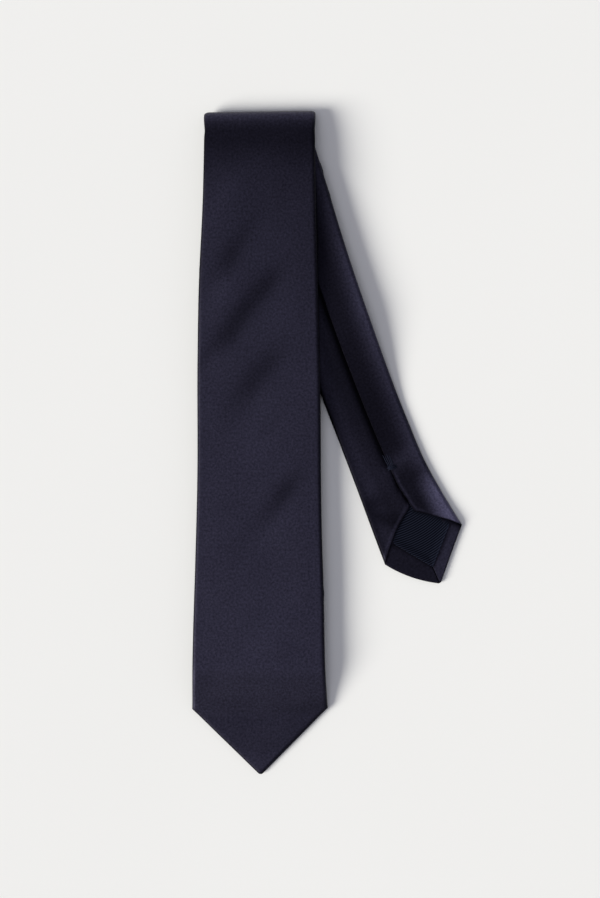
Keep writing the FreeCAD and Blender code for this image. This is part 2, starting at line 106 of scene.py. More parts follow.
# ---- Shape details in mm -------------------------------------------------------------------
CLOTH = 0.45                # thickness of the shell cloth
LINING_CLOTH = 0.25
EDGE_ROUND = 2.3            # how far the side edges round over
FRONT_POINT = 39.3          # shoulders to the point
TIP_SPARE = 1.0             # the strip runs on past the point, which is rounded back
BLADE_LEFT = ((0.0, 32.4), (54.0, 33.4), (101.0, 35.6), (148.0, 36.5), (218.0, 36.7), (265.0, 37.9),
              (312.0, 39.3), (352.3, 39.9))
BLADE_RIGHT = ((0.0, 32.1), (36.0, 32.2), (71.0, 32.9), (107.0, 33.9), (160.0, 35.1), (248.0, 36.1),
               (283.0, 37.2), (330.0, 38.2), (352.3, 39.5))
NECK_WIDTHS = ((-325.0, 20.2), (-210.0, 22.6), (-100.0, 27.4), (0.0, 31.8))
BLADE_REST_Y = (-88.0, -198.0)      # where the blade settles onto the layers
BLADE_DROP_Y = (-313.0, -344.0)     # where it drops to the table past the bottom fold
TAIL_DROP = (76.0, 144.0)           # where the tail sinks to the table, mm past its pivot
INNER_FOLD = (-42.0, -24.0)         # the fold before the pivot, with closer rows
TAIL_LEFT = ((0.0, 21.4), (110.0, 22.0), (150.0, 22.5), (188.0, 24.3), (205.0, 25.6), (221.0, 26.9))
TAIL_RIGHT = ((0.0, 22.0), (40.0, 21.3), (92.0, 20.6), (150.0, 19.7), (178.0, 19.7), (198.0, 21.4),
              (221.0, 24.0))
LEFT_CORNER = (222.2, -26.9)
RIGHT_CORNER = (220.3, 24.0)
TAIL_POINT = (246.6, -2.6)
LEFT_BOW = 1.7              # how far the tail's left point edge bulges
FRONT_HALF = 37.0           # typical half widths, which set how many columns a strip has
TAIL_HALF = 23.0
ROUND_TIP = 2.1             # how far a point's tip is rounded back
BLUNT = 0.42                # share of that rounding taken off the point's length


def ease(t):
    t = np.clip(t, 0.0, 1.0)
    return t * t * (3 - 2 * t)


def hump(t, centre, width):
    return np.exp(-((t - centre) / width) ** 2)


def quarter_round(t):
    """Rises from 0 at t = 0 to 1 at t = 1 along a quarter of a circle."""
    return np.sqrt(np.clip(1 - (1 - np.clip(t, 0, 1)) ** 2, 0, 1))


# ---- Strips: a middle line with a direction across it and a face side ----------------------
class Strip:
    """A padded strip.  (a, x, n) is along, across to the viewer's right, and out of the face."""

    def __init__(self, line, across, face_sign, zero):
        self.lift = None
        self.face_sign = face_sign
        steps = np.linalg.norm(np.diff(line, axis=0), axis=1)
        self.a = np.concatenate([[0.0], np.cumsum(steps)])
        self.a -= self.a[zero]
        self.line = line
        self.across = across / np.linalg.norm(across, axis=1)[:, None]
        tangent = np.gradient(line, self.a, axis=0)
        face = face_sign * np.cross(tangent, self.across)
        self.face = face / np.linalg.norm(face, axis=1)[:, None]

    def sample(self, values, a):
        return np.stack([np.interp(a, self.a, values[:, k]) for k in range(3)], axis=-1)

    def place(self, a, x, n):
        a, x, n = np.broadcast_arrays(a, x, n)
        across = self.sample(self.across, a)
        face = self.sample(self.face, a)
        points = self.sample(self.line, a) + x[..., None] * across + n[..., None] * face
        if self.lift is not None:
            points[..., 2] += self.lift(a, x)
        return points


def dense(points, step):
    """The same polyline with closer points."""
    out = [points[:1]]
    for p, q in zip(points, points[1:]):
        count = max(1, int(math.ceil(np.linalg.norm(q - p) / step)))
        t = np.arange(1, count + 1)[:, None] / count
        out.append(p + t * (q - p))
    return np.concatenate(out)


def arc(centre, radius, start_deg, end_deg):
    angle = np.radians(np.linspace(start_deg, end_deg, 24))
    return np.stack([centre[0] + radius * np.cos(angle), centre[1] + radius * np.sin(angle)], axis=1)


ROLL_TOP_REACH = 50.0       # how far back the roll's upper side rounds
ROLL_LOW_REACH = 10.0
ROLL_CREST_Z = 5.4
ROLL_POWERS = (3.0, 0.46)   # a superellipse, full near the crest and long at the back


def roll_line():
    """Middle line of the top roll in (y, z), from the lower layer over the crest to the blade."""
    low_turn = np.radians(np.linspace(-90, 0, 50))
    low = np.stack([CREST_Y - ROLL_LOW_REACH + ROLL_LOW_REACH * np.cos(low_turn),
                    ROLL_CREST_Z + ROLL_CREST_Z * np.sin(low_turn)], axis=1)
    u = np.sin(np.radians(np.linspace(90, 0, 120)))
    high = np.stack([CREST_Y - ROLL_TOP_REACH * (1 - u),
                     ROLL_CREST_Z + (TOP_Z - ROLL_CREST_Z) * (1 - u ** ROLL_POWERS[0]) ** ROLL_POWERS[1]],
                    axis=1)
    outer = dense(np.concatenate([low, high[1:]]), 0.2)
    slope = np.gradient(outer, axis=0)
    slope /= np.linalg.norm(slope, axis=1)[:, None]
    inward = np.stack([-slope[:, 1], slope[:, 0]], axis=1)
    return outer + HALF * inward


def sinking(y0, z0, y1, z1):
    """Points in (y, z) that go smoothly from one height to another."""
    t = np.linspace(0, 1, 40)
    return np.stack([y0 + t * (y1 - y0), z0 + ease(t) * (z1 - z0)], axis=1)


FOLD_MID = HALF + (UPPER_Z - LAYER) / 2          # middle line's radius in the two small folds
CUT_UPPER_Y = -60.0                              # where the front strip ends and the tail's begins
TAIL_LEAD = 26.0                                 # inner fold to the tail's pivot
SPACING = 0.5                                    # between points of a middle line


def front_strip():
    """Upper layer, bottom fold, lower layer, roll and blade, ending at the front point."""
    bottom_axis = (BOTTOM_Y + FOLD_MID + HALF, UPPER_Z - (UPPER_Z - LAYER) / 2)
    line = [np.array([[CUT_UPPER_Y, UPPER_Z + HALF]]),
            arc(bottom_axis, FOLD_MID, 90, 270),
            roll_line(),
            np.array([[BLADE_REST_Y[0], BLADE_Z + HALF]]),
            sinking(BLADE_REST_Y[0], BLADE_Z + HALF, BLADE_REST_Y[1], REST_Z + HALF),
            np.array([[BLADE_DROP_Y[0], REST_Z + HALF]]),
            sinking(BLADE_DROP_Y[0], REST_Z + HALF, BLADE_DROP_Y[1], HALF),
            np.array([[POINT_Y - TIP_SPARE, HALF]])]
    line = np.concatenate(line)
    moved = np.linalg.norm(np.diff(line, axis=0), axis=1) > 1e-6
    line = dense(line[np.concatenate([[True], moved])], SPACING)
    points = np.stack([np.zeros(len(line)), line[:, 0], line[:, 1]], axis=1)
    across = np.tile([1.0, 0.0, 0.0], (len(points), 1))
    crest = int(np.argmax(points[:, 1]))
    return Strip(points, across, 1, crest)


def tail_line(s):
    """Plan point and heading of the tail's middle line, s mm past its pivot."""
    turned = TAIL_BEND * s
    heading = TAIL_HEADING + turned / 2
    shrink = np.sinc(turned / 2 / math.pi)
    x = PIVOT[0] + s * shrink * np.sin(heading)
    y = PIVOT[1] - s * shrink * np.cos(heading)
    return x, y, TAIL_HEADING + turned


def tail_strip():
    """Upper layer's end, inner fold and tail, ending at the tail's point.  a is 0 at the pivot."""
    fold_x, start_y, _ = tail_line(-TAIL_LEAD)
    s = np.arange(-TAIL_LEAD, TAIL_POINT[0] + SPACING / 2, SPACING)
    x, y, heading = tail_line(s)
    drop = ease((s - TAIL_DROP[0]) / (TAIL_DROP[1] - TAIL_DROP[0]))
    tail = np.stack([x, y, TAIL_Z * (1 - drop) + HALF], axis=1)
    axis_z = TAIL_Z - (UPPER_Z - LAYER) / 2
    angle = np.radians(np.linspace(-90, 90, 24))[1:-1]
    lead = np.array([math.sin(TAIL_HEADING * 0.5), -math.cos(TAIL_HEADING * 0.5)])
    fold = np.stack([fold_x - FOLD_MID * np.cos(angle) * lead[0],
                     start_y - FOLD_MID * np.cos(angle) * lead[1],
                     axis_z + FOLD_MID * np.sin(angle)], axis=1)
    upper_y = np.arange(CUT_UPPER_Y, start_y - 0.2, SPACING)
    upper_x = fold_x * (upper_y - CUT_UPPER_Y) / (start_y - CUT_UPPER_Y)
    upper = np.stack([upper_x, upper_y, np.full(len(upper_y), UPPER_Z + HALF)], axis=1)
    line = np.concatenate([upper, fold, tail])
    turn = np.concatenate([np.linspace(0, 0.5 * TAIL_HEADING, len(upper)),
                           np.linspace(0.5, 1.0, len(fold)) * TAIL_HEADING, heading])
    across = np.stack([np.cos(turn), np.sin(turn), np.zeros(len(turn))], axis=1)
    pivot = len(upper) + len(fold) + int(round(TAIL_LEAD / SPACING))
    return Strip(line, across, -1, pivot)


# ---- Outlines in strip coordinates ---------------------------------------------------------
def spline(stations, at):
    """A smooth curve through a few (place, value) stations."""
    place, value = np.array(stations).T
    slope = np.gradient(value, place)
    k = np.clip(np.searchsorted(place, at) - 1, 0, len(place) - 2)
    span = place[k + 1] - place[k]
    t = np.clip((at - place[k]) / span, 0, 1)
    h00, h10 = 2 * t ** 3 - 3 * t ** 2 + 1, t ** 3 - 2 * t ** 2 + t
    h01, h11 = -2 * t ** 3 + 3 * t ** 2, t ** 3 - t ** 2
    return h00 * value[k] + h10 * span * slope[k] + h01 * value[k + 1] + h11 * span * slope[k + 1]


def distance_to(a, x, polyline):
    """Distance from strip points to a polyline, all in strip coordinates."""
    best = np.full(np.shape(a), 1e9)
    for (a0, x0), (a1, x1) in zip(polyline, polyline[1:]):
        da, dx = a1 - a0, x1 - x0
        length2 = max(da * da + dx * dx, 1e-12)
        t = np.clip(((a - a0) * da + (x - x0) * dx) / length2, 0, 1)
        best = np.minimum(best, np.hypot(a - a0 - t * da, x - x0 - t * dx))
    return best


def towards_point(corner, point, count, bow):
    """Points from a corner to the tip, bowed outwards and turning over the last few millimetres."""
    corner, point = np.array(corner, float), np.array(point, float)
    tip = point - [BLUNT * ROUND_TIP, 0.0]
    span = np.linalg.norm(point - corner)
    start = point + (corner - point) * ROUND_TIP / span
    slope = (start - point) / (start[0] - point[0])
    bend = point + slope * (tip[0] - point[0])
    t = 1 - (1 - np.linspace(0, 1, count + 1)[1:, None]) ** 1.15
    outward = np.array([abs(start[1] - corner[1]), math.copysign(start[0] - corner[0], corner[1])])
    outward /= np.linalg.norm(outward)
    straight = corner + t * (start - corner) + bow * 4 * t * (1 - t) * outward
    turn = np.linspace(0, 1, 9)[1:, None]
    curve = (1 - turn) ** 2 * start + 2 * turn * (1 - turn) * bend + turn ** 2 * tip
    return np.concatenate([straight, curve])


def bisect(near, far, inside):
    """Where inside(place) turns from true, at near, to false, at far."""
    for _ in range(40):
        middle = (near + far) / 2
        held = inside(middle)
        near = np.where(held, middle, near)
        far = np.where(held, far, middle)
    return (near + far) / 2


LEAN_REACH = 30.0           # above the shoulders, where rows lean towards the corners


class Outline:
    """Left and right side of a strip by row.  Rows past the shoulders run down to the point."""

    def __init__(self, rows, sides, left_corner, right_corner, point, point_rows, left_bow=0.0):
        self.shoulder_row = len(rows) - 1
        lean = ease((rows - rows[-1] + LEAN_REACH) / LEAN_REACH)
        edges = []
        corners = (left_corner, right_corner)
        for sign, half, corner, bow in zip((-1, 1), sides(rows), corners, (left_bow, 0.0)):
            edge = np.stack([rows + lean * (corner[0] - rows[-1]), sign * half], axis=1)
            edge[-1] = corner
            edges.append(np.concatenate([edge, towards_point(corner, point, point_rows, bow)]))
        self.left, self.right = edges
        self.rim = thin(np.concatenate([self.left, self.right[::-1]]))

    def at(self, v, rows=slice(None)):
        """Strip coordinates at share v across each row (0 left, 1 right); v is (rows, columns)."""
        left, right = self.left[rows], self.right[rows]
        a = left[:, :1] + v * (right[:, :1] - left[:, :1])
        x = left[:, 1:] + v * (right[:, 1:] - left[:, 1:])
        return a, x

    def edge_distance(self, a, x):
        return distance_to(a, x, self.rim)

    def crossing(self, free_edge, rows=slice(None)):
        """Share v where each row meets a free edge given as (a, x) points with a rising."""
        fa, fx = np.array(free_edge).T

        def before(share):
            a, x = self.at(share, rows)
            return x <= np.interp(a, fa, fx)

        start = np.zeros((len(self.left[rows]), 1))
        return bisect(start, start + 1, before)


def thin(polyline):
    """Fewer points of a dense polyline, with its corners kept."""
    keep = [0]
    for k in range(1, len(polyline) - 1):
        back = polyline[k] - polyline[keep[-1]]
        ahead = polyline[k + 1] - polyline[k]
        turn = abs(back[0] * ahead[1] - back[1] * ahead[0])
        length = np.linalg.norm(back)
        if turn > 0.01 * length * np.linalg.norm(ahead) or length > 16.0:
            keep.append(k)
    return polyline[keep + [len(polyline) - 1]]


def columns(rim_steps, spacing, half):
    """Shares across a row as one row of an array: fine over the rounded edges, even between them."""
    inner = np.arange(rim_steps[-1] + spacing, half, spacing)
    shares = np.concatenate([rim_steps, inner, [half]]) / (2 * half)
    return np.concatenate([shares, 1 - shares[-2::-1]])[None, :]


RIM_STEPS = [0.0, 0.06, 0.2, 0.45, 0.8, 1.25, 1.8, 2.5, 3.4]


# ---- Height of the surfaces above the strip's middle ---------------------------------------
def rounding(d):
    """Half thickness at distance d from the outline: a soft round edge, then a slight crown."""
    return HALF * quarter_round(d / EDGE_ROUND) * (0.93 + 0.07 * ease(d / 14.0))


def lip(delta, radius):
    """How far a folded free edge turns down at distance delta from its fold."""
    return radius * (1 - quarter_round(delta / radius))


# ---- Meshes from sheets --------------------------------------------------------------------
class Sheets:
    """Grids of points in strip coordinates that are welded into one cloth surface."""

    def __init__(self, strip):
        self.strip = strip
        self.points = []
        self.coords = []
        self.tones = []
        self.faces = []
        self.count = 0

    def add(self, a, x, n, tone=1.0, flip=False):
        a, x, n, tone = np.broadcast_arrays(a, x, n, tone)
        self.tones.append(tone.reshape(-1))
        rows, cols = a.shape
        self.points.append(self.strip.place(a, x, n).reshape(-1, 3))
        self.coords.append(np.stack([a, x], axis=-1).reshape(-1, 2))
        index = np.arange(rows * cols).reshape(rows, cols) + self.count
        quads = np.stack([index[:-1, :-1], index[:-1, 1:], index[1:, 1:], index[1:, :-1]], axis=-1)
        quads = quads.reshape(-1, 4)
        inward = self.strip.face_sign > 0       # then the face's quads would look into the cloth
        self.faces.append(quads[:, ::-1] if flip != inward else quads)
        self.count += rows * cols

    def welded(self, warp=None):
        points = np.concatenate(self.points)
        coords = np.concatenate(self.coords)
        tones = np.concatenate(self.tones)
        if warp is not None:
            points = warp(points)
        key = np.round(points, 3)
        _, first, inverse = np.unique(key, axis=0, return_index=True, return_inverse=True)
        quads = inverse.reshape(-1)[np.concatenate(self.faces)]
        faces = []
        for quad in quads:
            ring = [v for k, v in enumerate(quad) if v != quad[k - 1]]
            if len(set(ring)) >= 3 and len(set(ring)) == len(ring):
                faces.append(ring)
        return Surface(points[first], coords[first], tones[first], faces)


class Surface:
    """Points, strip coordinates, faces and smooth normals of one open cloth surface."""

    def __init__(self, points, coords, tones, faces):
        self.points, self.coords, self.tones, self.faces = points, coords, tones, faces
        normals = np.zeros_like(points)
        for size in (3, 4):
            group = np.array([f for f in faces if len(f) == size])
            if len(group) == 0:
                continue
            p = points[group]
            cross = np.cross(p[:, 2] - p[:, 0], p[:, -1] - p[:, 1]) if size == 4 else \
                np.cross(p[:, 1] - p[:, 0], p[:, 2] - p[:, 0])
            for k in range(size):
                np.add.at(normals, group[:, k], cross)
        self.normals = normals / np.maximum(np.linalg.norm(normals, axis=1), 1e-9)[:, None]

    def part(self, low, high, low_skew=0.0, high_skew=0.0):
        """The faces whose middle lies between two lines across the strip, which may be skewed."""
        middle = np.array([self.coords[f].mean(axis=0) for f in self.faces])
        a, x = middle[:, 0], middle[:, 1]
        inside = (a - low_skew * x >= low) & (a - high_skew * x < high)
        chosen = [self.faces[k] for k in np.flatnonzero(inside)]
        used = np.unique(np.concatenate([np.array(f) for f in chosen]))
        new = np.full(len(self.points), -1)
        new[used] = np.arange(len(used))
        piece = Surface.__new__(Surface)
        piece.points, piece.coords = self.points[used], self.coords[used]
        piece.normals, piece.tones = self.normals[used], self.tones[used]
        piece.faces = [[int(new[v]) for v in f] for f in chosen]
        return piece


def cloth_object(name, surface, thickness=CLOTH):
    """A closed sheet of cloth: the surface, its inner side and the cut edges between them."""
    count = len(surface.points)
    inner = surface.points - thickness * surface.normals
    points = np.concatenate([surface.points, inner])
    edges = {}
    for face in surface.faces:
        for k, v in enumerate(face):
            edges[(face[k - 1], v)] = True
    rim = [[q, p, p + count, q + count] for p, q in edges if (q, p) not in edges]
    back = [[v + count for v in reversed(face)] for face in surface.faces]
    faces = surface.faces + back + rim
    coords = np.concatenate([surface.coords, surface.coords])
    normals = np.concatenate([surface.normals, -surface.normals])
    tones = np.concatenate([surface.tones, surface.tones])
    return mesh_object(name, points, faces, coords, normals, 2 * len(surface.faces), tones)


def mesh_object(name, points, faces, coords=None, normals=None, smooth_faces=None, tones=None):
    mesh = bpy.data.meshes.new(name)
    mesh.from_pydata((points * MM).tolist(), [], faces)
    loops = np.zeros(len(mesh.loops), np.int32)
    mesh.loops.foreach_get("vertex_index", loops)
    if coords is not None:
        uv = mesh.uv_layers.new(name="strip")
        uv.data.foreach_set("uv", (coords[loops][:, ::-1] * MM).astype(np.float32).ravel())
    mesh.polygons.foreach_set("use_smooth", [True] * len(faces))
    if normals is not None:
        loop_normals = normals[loops]
        for face in mesh.polygons[smooth_faces:]:
            loop_normals[face.loop_start:face.loop_start + face.loop_total] = face.normal
        mesh.normals_split_custom_set(loop_normals.tolist())
    if tones is not None:
        tone = mesh.attributes.new("tone", "FLOAT", "POINT")
        tone.data.foreach_set("value", tones.astype(np.float32))
    obj = bpy.data.objects.new(name, mesh)
    bpy.context.scene.collection.objects.link(obj)
    return obj


# ---- The pointed ends: where the back's edges lie ------------------------------------------
SIDES = ("left", "right")


class PointedEnd:
    """Edges on the back near a point, by side, as (a, x) polylines with a rising."""

    def __init__(self, start, tack, slit, openings, corners, lining_tops, lining_foot, point, sheen,
                 creases=()):
        # sheen sets a painted highlight near the point's corners; creases are painted crease light and shade
        # on the wings
        self.tack, self.sheen, self.creases = tack, sheen, creases
        left, right = [edge + [corner] for edge, corner in zip(openings, corners)]
        self.opening = {"left": left, "right": right}
        self.wing = {"left": [(start, LEFT_LAP), (tack, LEFT_LAP), (left[0][0] - 9.0, 2.6)] + left,
                     "right": [(start, RIGHT_LAP), (tack - 12.0, RIGHT_LAP)] + slit + right}
        mitre = (lining_foot[0][0] - HEM_TUCK, (lining_foot[0][1] + lining_foot[1][1]) / 2)
        self.lining, self.hem = {}, {}
        for side, inward, top, foot in zip(SIDES, (1, -1), lining_tops, lining_foot):
            hem_x = top[1] + inward * HEM_TUCK
            self.lining[side] = [(tack, top[1]), top, foot]
            self.hem[side] = [(tack, hem_x), (top[0], hem_x), mitre, point]
        self.lining_rim = self.lining["left"][1:] + self.lining["right"][:0:-1]
        self.hem_start = min(top[0] for top in lining_tops) - 9.0


LEFT_LAP = 3.4              # free edges of the wings above the tack; the right wing is on top
RIGHT_LAP = -1.0
HEM_TUCK = 3.0              # how far the hem runs on under the lining
WING_DROP = 0.5             # how far the left wing sinks under the right one
WING_VALLEY = 0.5           # how much thinner the back is at its middle
WING_RISE = 2.05            # height of the wings' edges where they pass over lining and hem
HEM_LEVEL = 1.0
LINING_LEVEL = 0.92
LINING_EDGE_LEVEL = 1.42
LIP = 0.5
EDGE_SHADE = 0.5            # painted shade where the satin turns over the side edges
# painted shade over the tail's side edges, stronger than on the blade
TAIL_EDGE_SHADE = 0.8
GAP_SHADE = 0.92            # painted shade in the gaps under the wings' edges
EDGE_FADE = 1.6             # over which a free edge's shape fades out at the side edge
HEM_INSET = 1.4             # how far the hems' upper ends stay inside the side edges
# painted sheen of each hem's satin, the right hem lighter than the left
HEM_PAINTED_SHEEN = {"right": 0.88, "left": 0.39}


def wing_shares(half):
    """Shares from a wing's outer edge to its free edge."""
    rim = np.array(RIM_STEPS)
    middle = np.arange(rim[-1] + 1.8, half - 3.0, 1.8)
    tip = half - np.array([2.4, 1.9, 1.4, 1.0, 0.7, 0.45, 0.28, 0.15, 0.06, 0.0])
    return (np.concatenate([rim, middle, tip]) / half)[None, :]


def panel(outline, side, free, half, rows, inset=0.0):
    """Strip coordinates from a side edge, or a share inside it, to a free edge."""
    inner = outline.crossing(free, rows)
    outer = np.abs((1.0 if side == "right" else 0.0) - inset) + 0 * inner
    return outline.at(outer + wing_shares(half) * (inner - outer), rows)


def add_face(sheets, outline, half, tone, seam_dip, edge_shade):
    a, x = outline.at(columns(RIM_STEPS, 1.9, half))
    inside = outline.edge_distance(a, x)
    # edge_shade darkens the face over its rounded side edges: painted shade
    sheets.add(a, x, rounding(inside) * seam_dip(a, x), tone(a, x) * (1 - edge_shade * hump(inside, 0, 1.5)))


def creased(a, x, creases, turn=None):
    """Strength of soft creases, each as (distance, side, length, width, strength, turn in degrees)."""
    strength = 0 * a
    for a0, x0, length, width, height, *own in creases:
        angle = math.radians(own[0] if own else turn)
        along = (x - x0) * math.cos(angle) - (a - a0) * math.sin(angle)
        side = (x - x0) * math.sin(angle) + (a - a0) * math.cos(angle)
        strength = strength + height * np.exp(-(along / length) ** 2 - (side / width) ** 2)
    return strength


def wing_painted_light(a, x, side, end, half):
    """Painted light and shade on the wings: dark in the middle, with a painted sheen towards the folded
    edges.
    """
    outward = np.abs(x)
    if side == "right":
        # right wing: painted sheen rising towards its outer edge
        glow = 0.33 + 1.5 * np.clip((outward - 0.24 * half) / (0.64 * half), 0, 1.3) ** 2.2
        # a painted highlight near the point's corners, as strong as end.sheen
        late = ease((a - end.tack - 8.0) / 20.0)
        # painted shade near the top, where the blade shades the tail, and a darker patch further down
        early = 0.40 + 0.60 * ease((a - 5.0) / 80.0)
        early = early * (1 - 0.27 * hump(a, 144.0, 22.0))
        return glow * early + end.sheen * late * ease((outward - 0.35 * half) / (0.45 * half))
    # left wing: darker towards the point, with a painted sheen towards its outer edge
    middle = 0.41 + 0.08 * ease((a - end.tack + 36.0) / 25.0) \
        - 0.13 * ease((a - end.tack - 6.0) / 22.0)
    return middle + 0.2 * ease((outward - 0.4 * half) / (0.3 * half))


def add_wings(sheets, outline, end, half, seam_dip):
    """The two back panels; the right one laps over the left one."""
    rows = slice(0, outline.shoulder_row + 1)
    right_a, right_x = np.array(end.wing["right"]).T
    for side in ("right", "left"):
        a, x = panel(outline, side, end.wing[side], half, rows)
        inside = outline.edge_distance(a, x)
        fade = ease(inside / EDGE_FADE)
        delta = distance_to(a, x, end.wing[side])
        beside_opening = distance_to(a, x, end.opening[side])
        near_opening = ease(1 - beside_opening / 13.0)
        level = rounding(inside) * seam_dip(a, x) - WING_VALLEY * ease(inside / 17.0)
        level = level + near_opening * fade * (WING_RISE - level)
        ahead = x - np.interp(a, right_a, right_x)
        # painted light and shade of the wings, with painted crease light and shade on top
        tone = wing_painted_light(a, x, side, end, half) * (1 + creased(a, x, end.creases))
        if side == "right":
            n = -(level - fade * lip(delta, LIP))
            apex = end.opening[side][0][0]
            slit = ease((a - end.tack - 2.0) / 4.0) * ease((apex + 4.0 - a) / 4.0)
            # painted shade along the right wing's folded edge, and a painted highlight on that edge beside
            # the slit
            tone = tone * (1 - 0.75 * hump(delta, 0, 0.55)) + 0.45 * slit * hump(delta, 1.5, 0.6)
        else:
            sink = WING_DROP * ease((ahead + 3.0) / 2.6) * (1 - 0.5 * near_opening)
            n = -(level - fade * (sink + lip(delta, 0.4)))
            # painted shade in the crease beside the right wing's edge, widest above the tack
            crease = np.minimum(ahead + 0.4, 0)
            above = ease((end.tack + 2.0 - a) / 4.0)
            tone = tone * (1 - 0.94 * hump(crease, 0, 0.9 + above))
            tone = tone * (1 - 0.35 * above * hump(crease, 0, 5.0))
            # painted shade over the left side edge, and a painted highlight along the opening edge
            tone = tone * (1 - 0.5 * hump(inside, 0, 3.6)) * (1 - 0.6 * hump(inside, 0, 1.6))
            tone = tone + 0.35 * hump(beside_opening, 1.7, 0.7)
        sheets.add(a, x, n, tone, flip=(side == "left"))


def under_wings(a, x, end):
    """Painted shade in the gaps beside the wings' opening edges, widest towards the right corner."""
    wide = 1.0 + 2.0 * ease((x - 4.0) / 16.0)
    right = hump(distance_to(a, x, end.opening["right"]), 0, wide)
    return (1 - GAP_SHADE * right) * (1 - 0.6 * hump(distance_to(a, x, end.opening["left"]), 0, 1.0))


def add_hems(sheets, outline, end, half):
    """The shell cloth turned back along both sides of the point, mitred at the tip."""
    first = int(np.searchsorted(outline.left[:outline.shoulder_row, 0], end.hem_start))
    rows = slice(first, None)
    tucked = (np.arange(len(outline.left[rows])) + first < outline.shoulder_row)[:, None]
    for side in ("right", "left"):
        a, x = panel(outline, side, end.hem[side], half / 3, rows, tucked * HEM_INSET / (2 * half))
        inside = outline.edge_distance(a, x)
        delta = distance_to(a, x, end.hem[side])
        n = ease(inside / EDGE_FADE) * lip(delta, LIP) - np.minimum(HEM_LEVEL, rounding(inside))
        # painted shade along each hem's fold and under the wings' edges, and a painted shadow beside the
        # lining's edge
        tone = HEM_PAINTED_SHEEN[side] * (1 - 0.8 * hump(delta, 0, 0.5)) * under_wings(a, x, end)
        tone = tone * (1 - 0.7 * hump(distance_to(a, x, end.lining_rim), 0, 0.9))
        sheets.add(a, x, n, tone, flip=(side == "left"))


# ---- Front: neck, roll, blade and point ----------------------------------------------------
front = front_strip()
FRONT_END = float(front.a[-1])
FRONT_SHOULDER = FRONT_END - FRONT_POINT
FRONT_TACK = FRONT_END - 100.0
NECK_START = float(front.a[0])
tail = tail_strip()
TAIL_START = float(tail.a[0])


def front_sides(a):
    bulge = 0.5 * hump(a, 3.0, 5.0) - 0.25 * hump(a, 12.5, 2.6)
    neck = spline(NECK_WIDTHS, np.clip(a, NECK_WIDTHS[0][0], 0))
    blade = np.clip(a, 0, FRONT_SHOULDER)
    return (np.where(a > 0, spline(BLADE_LEFT, blade), neck) + bulge,
            np.where(a > 0, spline(BLADE_RIGHT, blade), neck) + 0.6 * bulge)


def stretch(low, high, spacing):
    count = max(2, int(round((high - low) / spacing)) + 1)
    return np.linspace(low, high, count)


def joined(*parts):
    rows = np.concatenate(parts)
    return rows[np.concatenate([[True], np.diff(rows) > 1e-6])]


ROLL_CUT = 34.0             # blade and roll pieces meet here
LOWER_CUT = -34.0
BOTTOM_BEND = (-330.0, -310.0)


def roll_tilt(points):
    """The crest runs a little lower on the left, and the table flattens what lies on it."""
    y, x = points[:, 1], points[:, 0]
    near = ease((y + 16.0) / (CREST_Y + 16.0))
    out = points.copy()
    out[:, 1] -= 0.014 * (ROLL_HALF - x) * near
    out[:, 2] = np.maximum(out[:, 2], 0.0)
    return out


# Soft diagonal folds of the blade, valleys below zero, shaped in the cloth and also painted as shade and
# highlight: (a, x, length, width, height)
FOLDS = ((119.0, -9.5, 22.0, 6.6, -0.29), (101.0, 6.0, 12.0, 5.5, -0.15), (161.0, -5.0, 22.0, 7.6, -0.21),
         (147.0, 8.0, 9.0, 6.0, -0.09), (78.0, -13.0, 23.0, 5.2, -0.16), (89.0, -16.0, 9.0, 5.0, -0.12),
         (225.0, 14.0, 18.0, 5.4, -0.24), (186.0, 5.0, 12.0, 4.5, -0.08), (48.0, 12.0, 20.0, 10.0, -0.08),
         (107.0, -21.0, 9.0, 5.5, 0.08), (121.0, 14.0, 16.0, 9.0, 0.08), (52.0, -20.0, 20.0, 6.0, 0.07),
         (196.0, -2.0, 24.0, 10.0, 0.06), (246.0, 8.0, 16.0, 6.0, 0.05), (305.0, 5.0, 26.0, 9.0, 0.06),
         (140.0, -28.0, 16.0, 4.0, -0.10), (254.0, -12.0, 20.0, 6.0, -0.04), (138.0, 2.0, 42.0, 16.0, -0.03),
         (134.0, -16.0, 9.0, 4.5, -0.08), (44.0, -3.0, 16.0, 7.0, -0.06))
FOLD_TURN = 54.0            # degrees from straight across
FOLD_DEPTH = 1.6            # mm of height for a fold of strength one
FOLD_PAINTED_LIGHT = 1.75           # how strongly a fold's painted shade and highlight change the colour and gloss


def folds(a, x):
    return creased(a, x, FOLDS, FOLD_TURN)


def front_lift(a, x):
    """Soft unevenness of the blade, never below its resting height."""
    wave = 0.5 + 0.5 * np.sin(0.071 * a + 0.045 * x + 0.6)
    cross = 0.5 + 0.5 * np.sin(0.038 * a - 0.11 * x + 2.1)
    lift = 0.22 * wave + 0.20 * cross + 0.4 + FOLD_DEPTH * folds(a, x)
    return lift * ease((a - 20.0) / 25.0) * ease((FRONT_END - a) / 30.0)


# Painted highlight at the crest and painted shade below it, down the blade's face from the crest: (distance,
# share)
ROLL_PAINTED_LIGHT = ((0.0, 1.4), (1.5, 2.8), (3.5, 3.0), (5.5, 2.25), (7.3, 1.42), (10.0, 0.92), (13.0, 0.64),
              (19.6, 0.53), (26.0, 0.67), (37.0, 0.88), (55.0, 0.97), (80.0, 1.0))
# Painted light along the blade, lighter towards the point: (distance, share)
LENGTH_PAINTED_LIGHT = ((60.0, 0.86), (100.0, 0.885), (150.0, 0.92), (200.0, 0.945), (250.0, 0.965), (300.0, 1.01),
                (320.0, 1.02))
TIP_PAINTED_HIGHLIGHT = 341.0           # a painted highlight band above the shoulders
TIP_PAINTED_SHADE_START = 350.0            # painted shade starts here, earlier on the right side
TIP_PAINTED_SHADE_END = 374.0           # and the painted light rises again towards the point


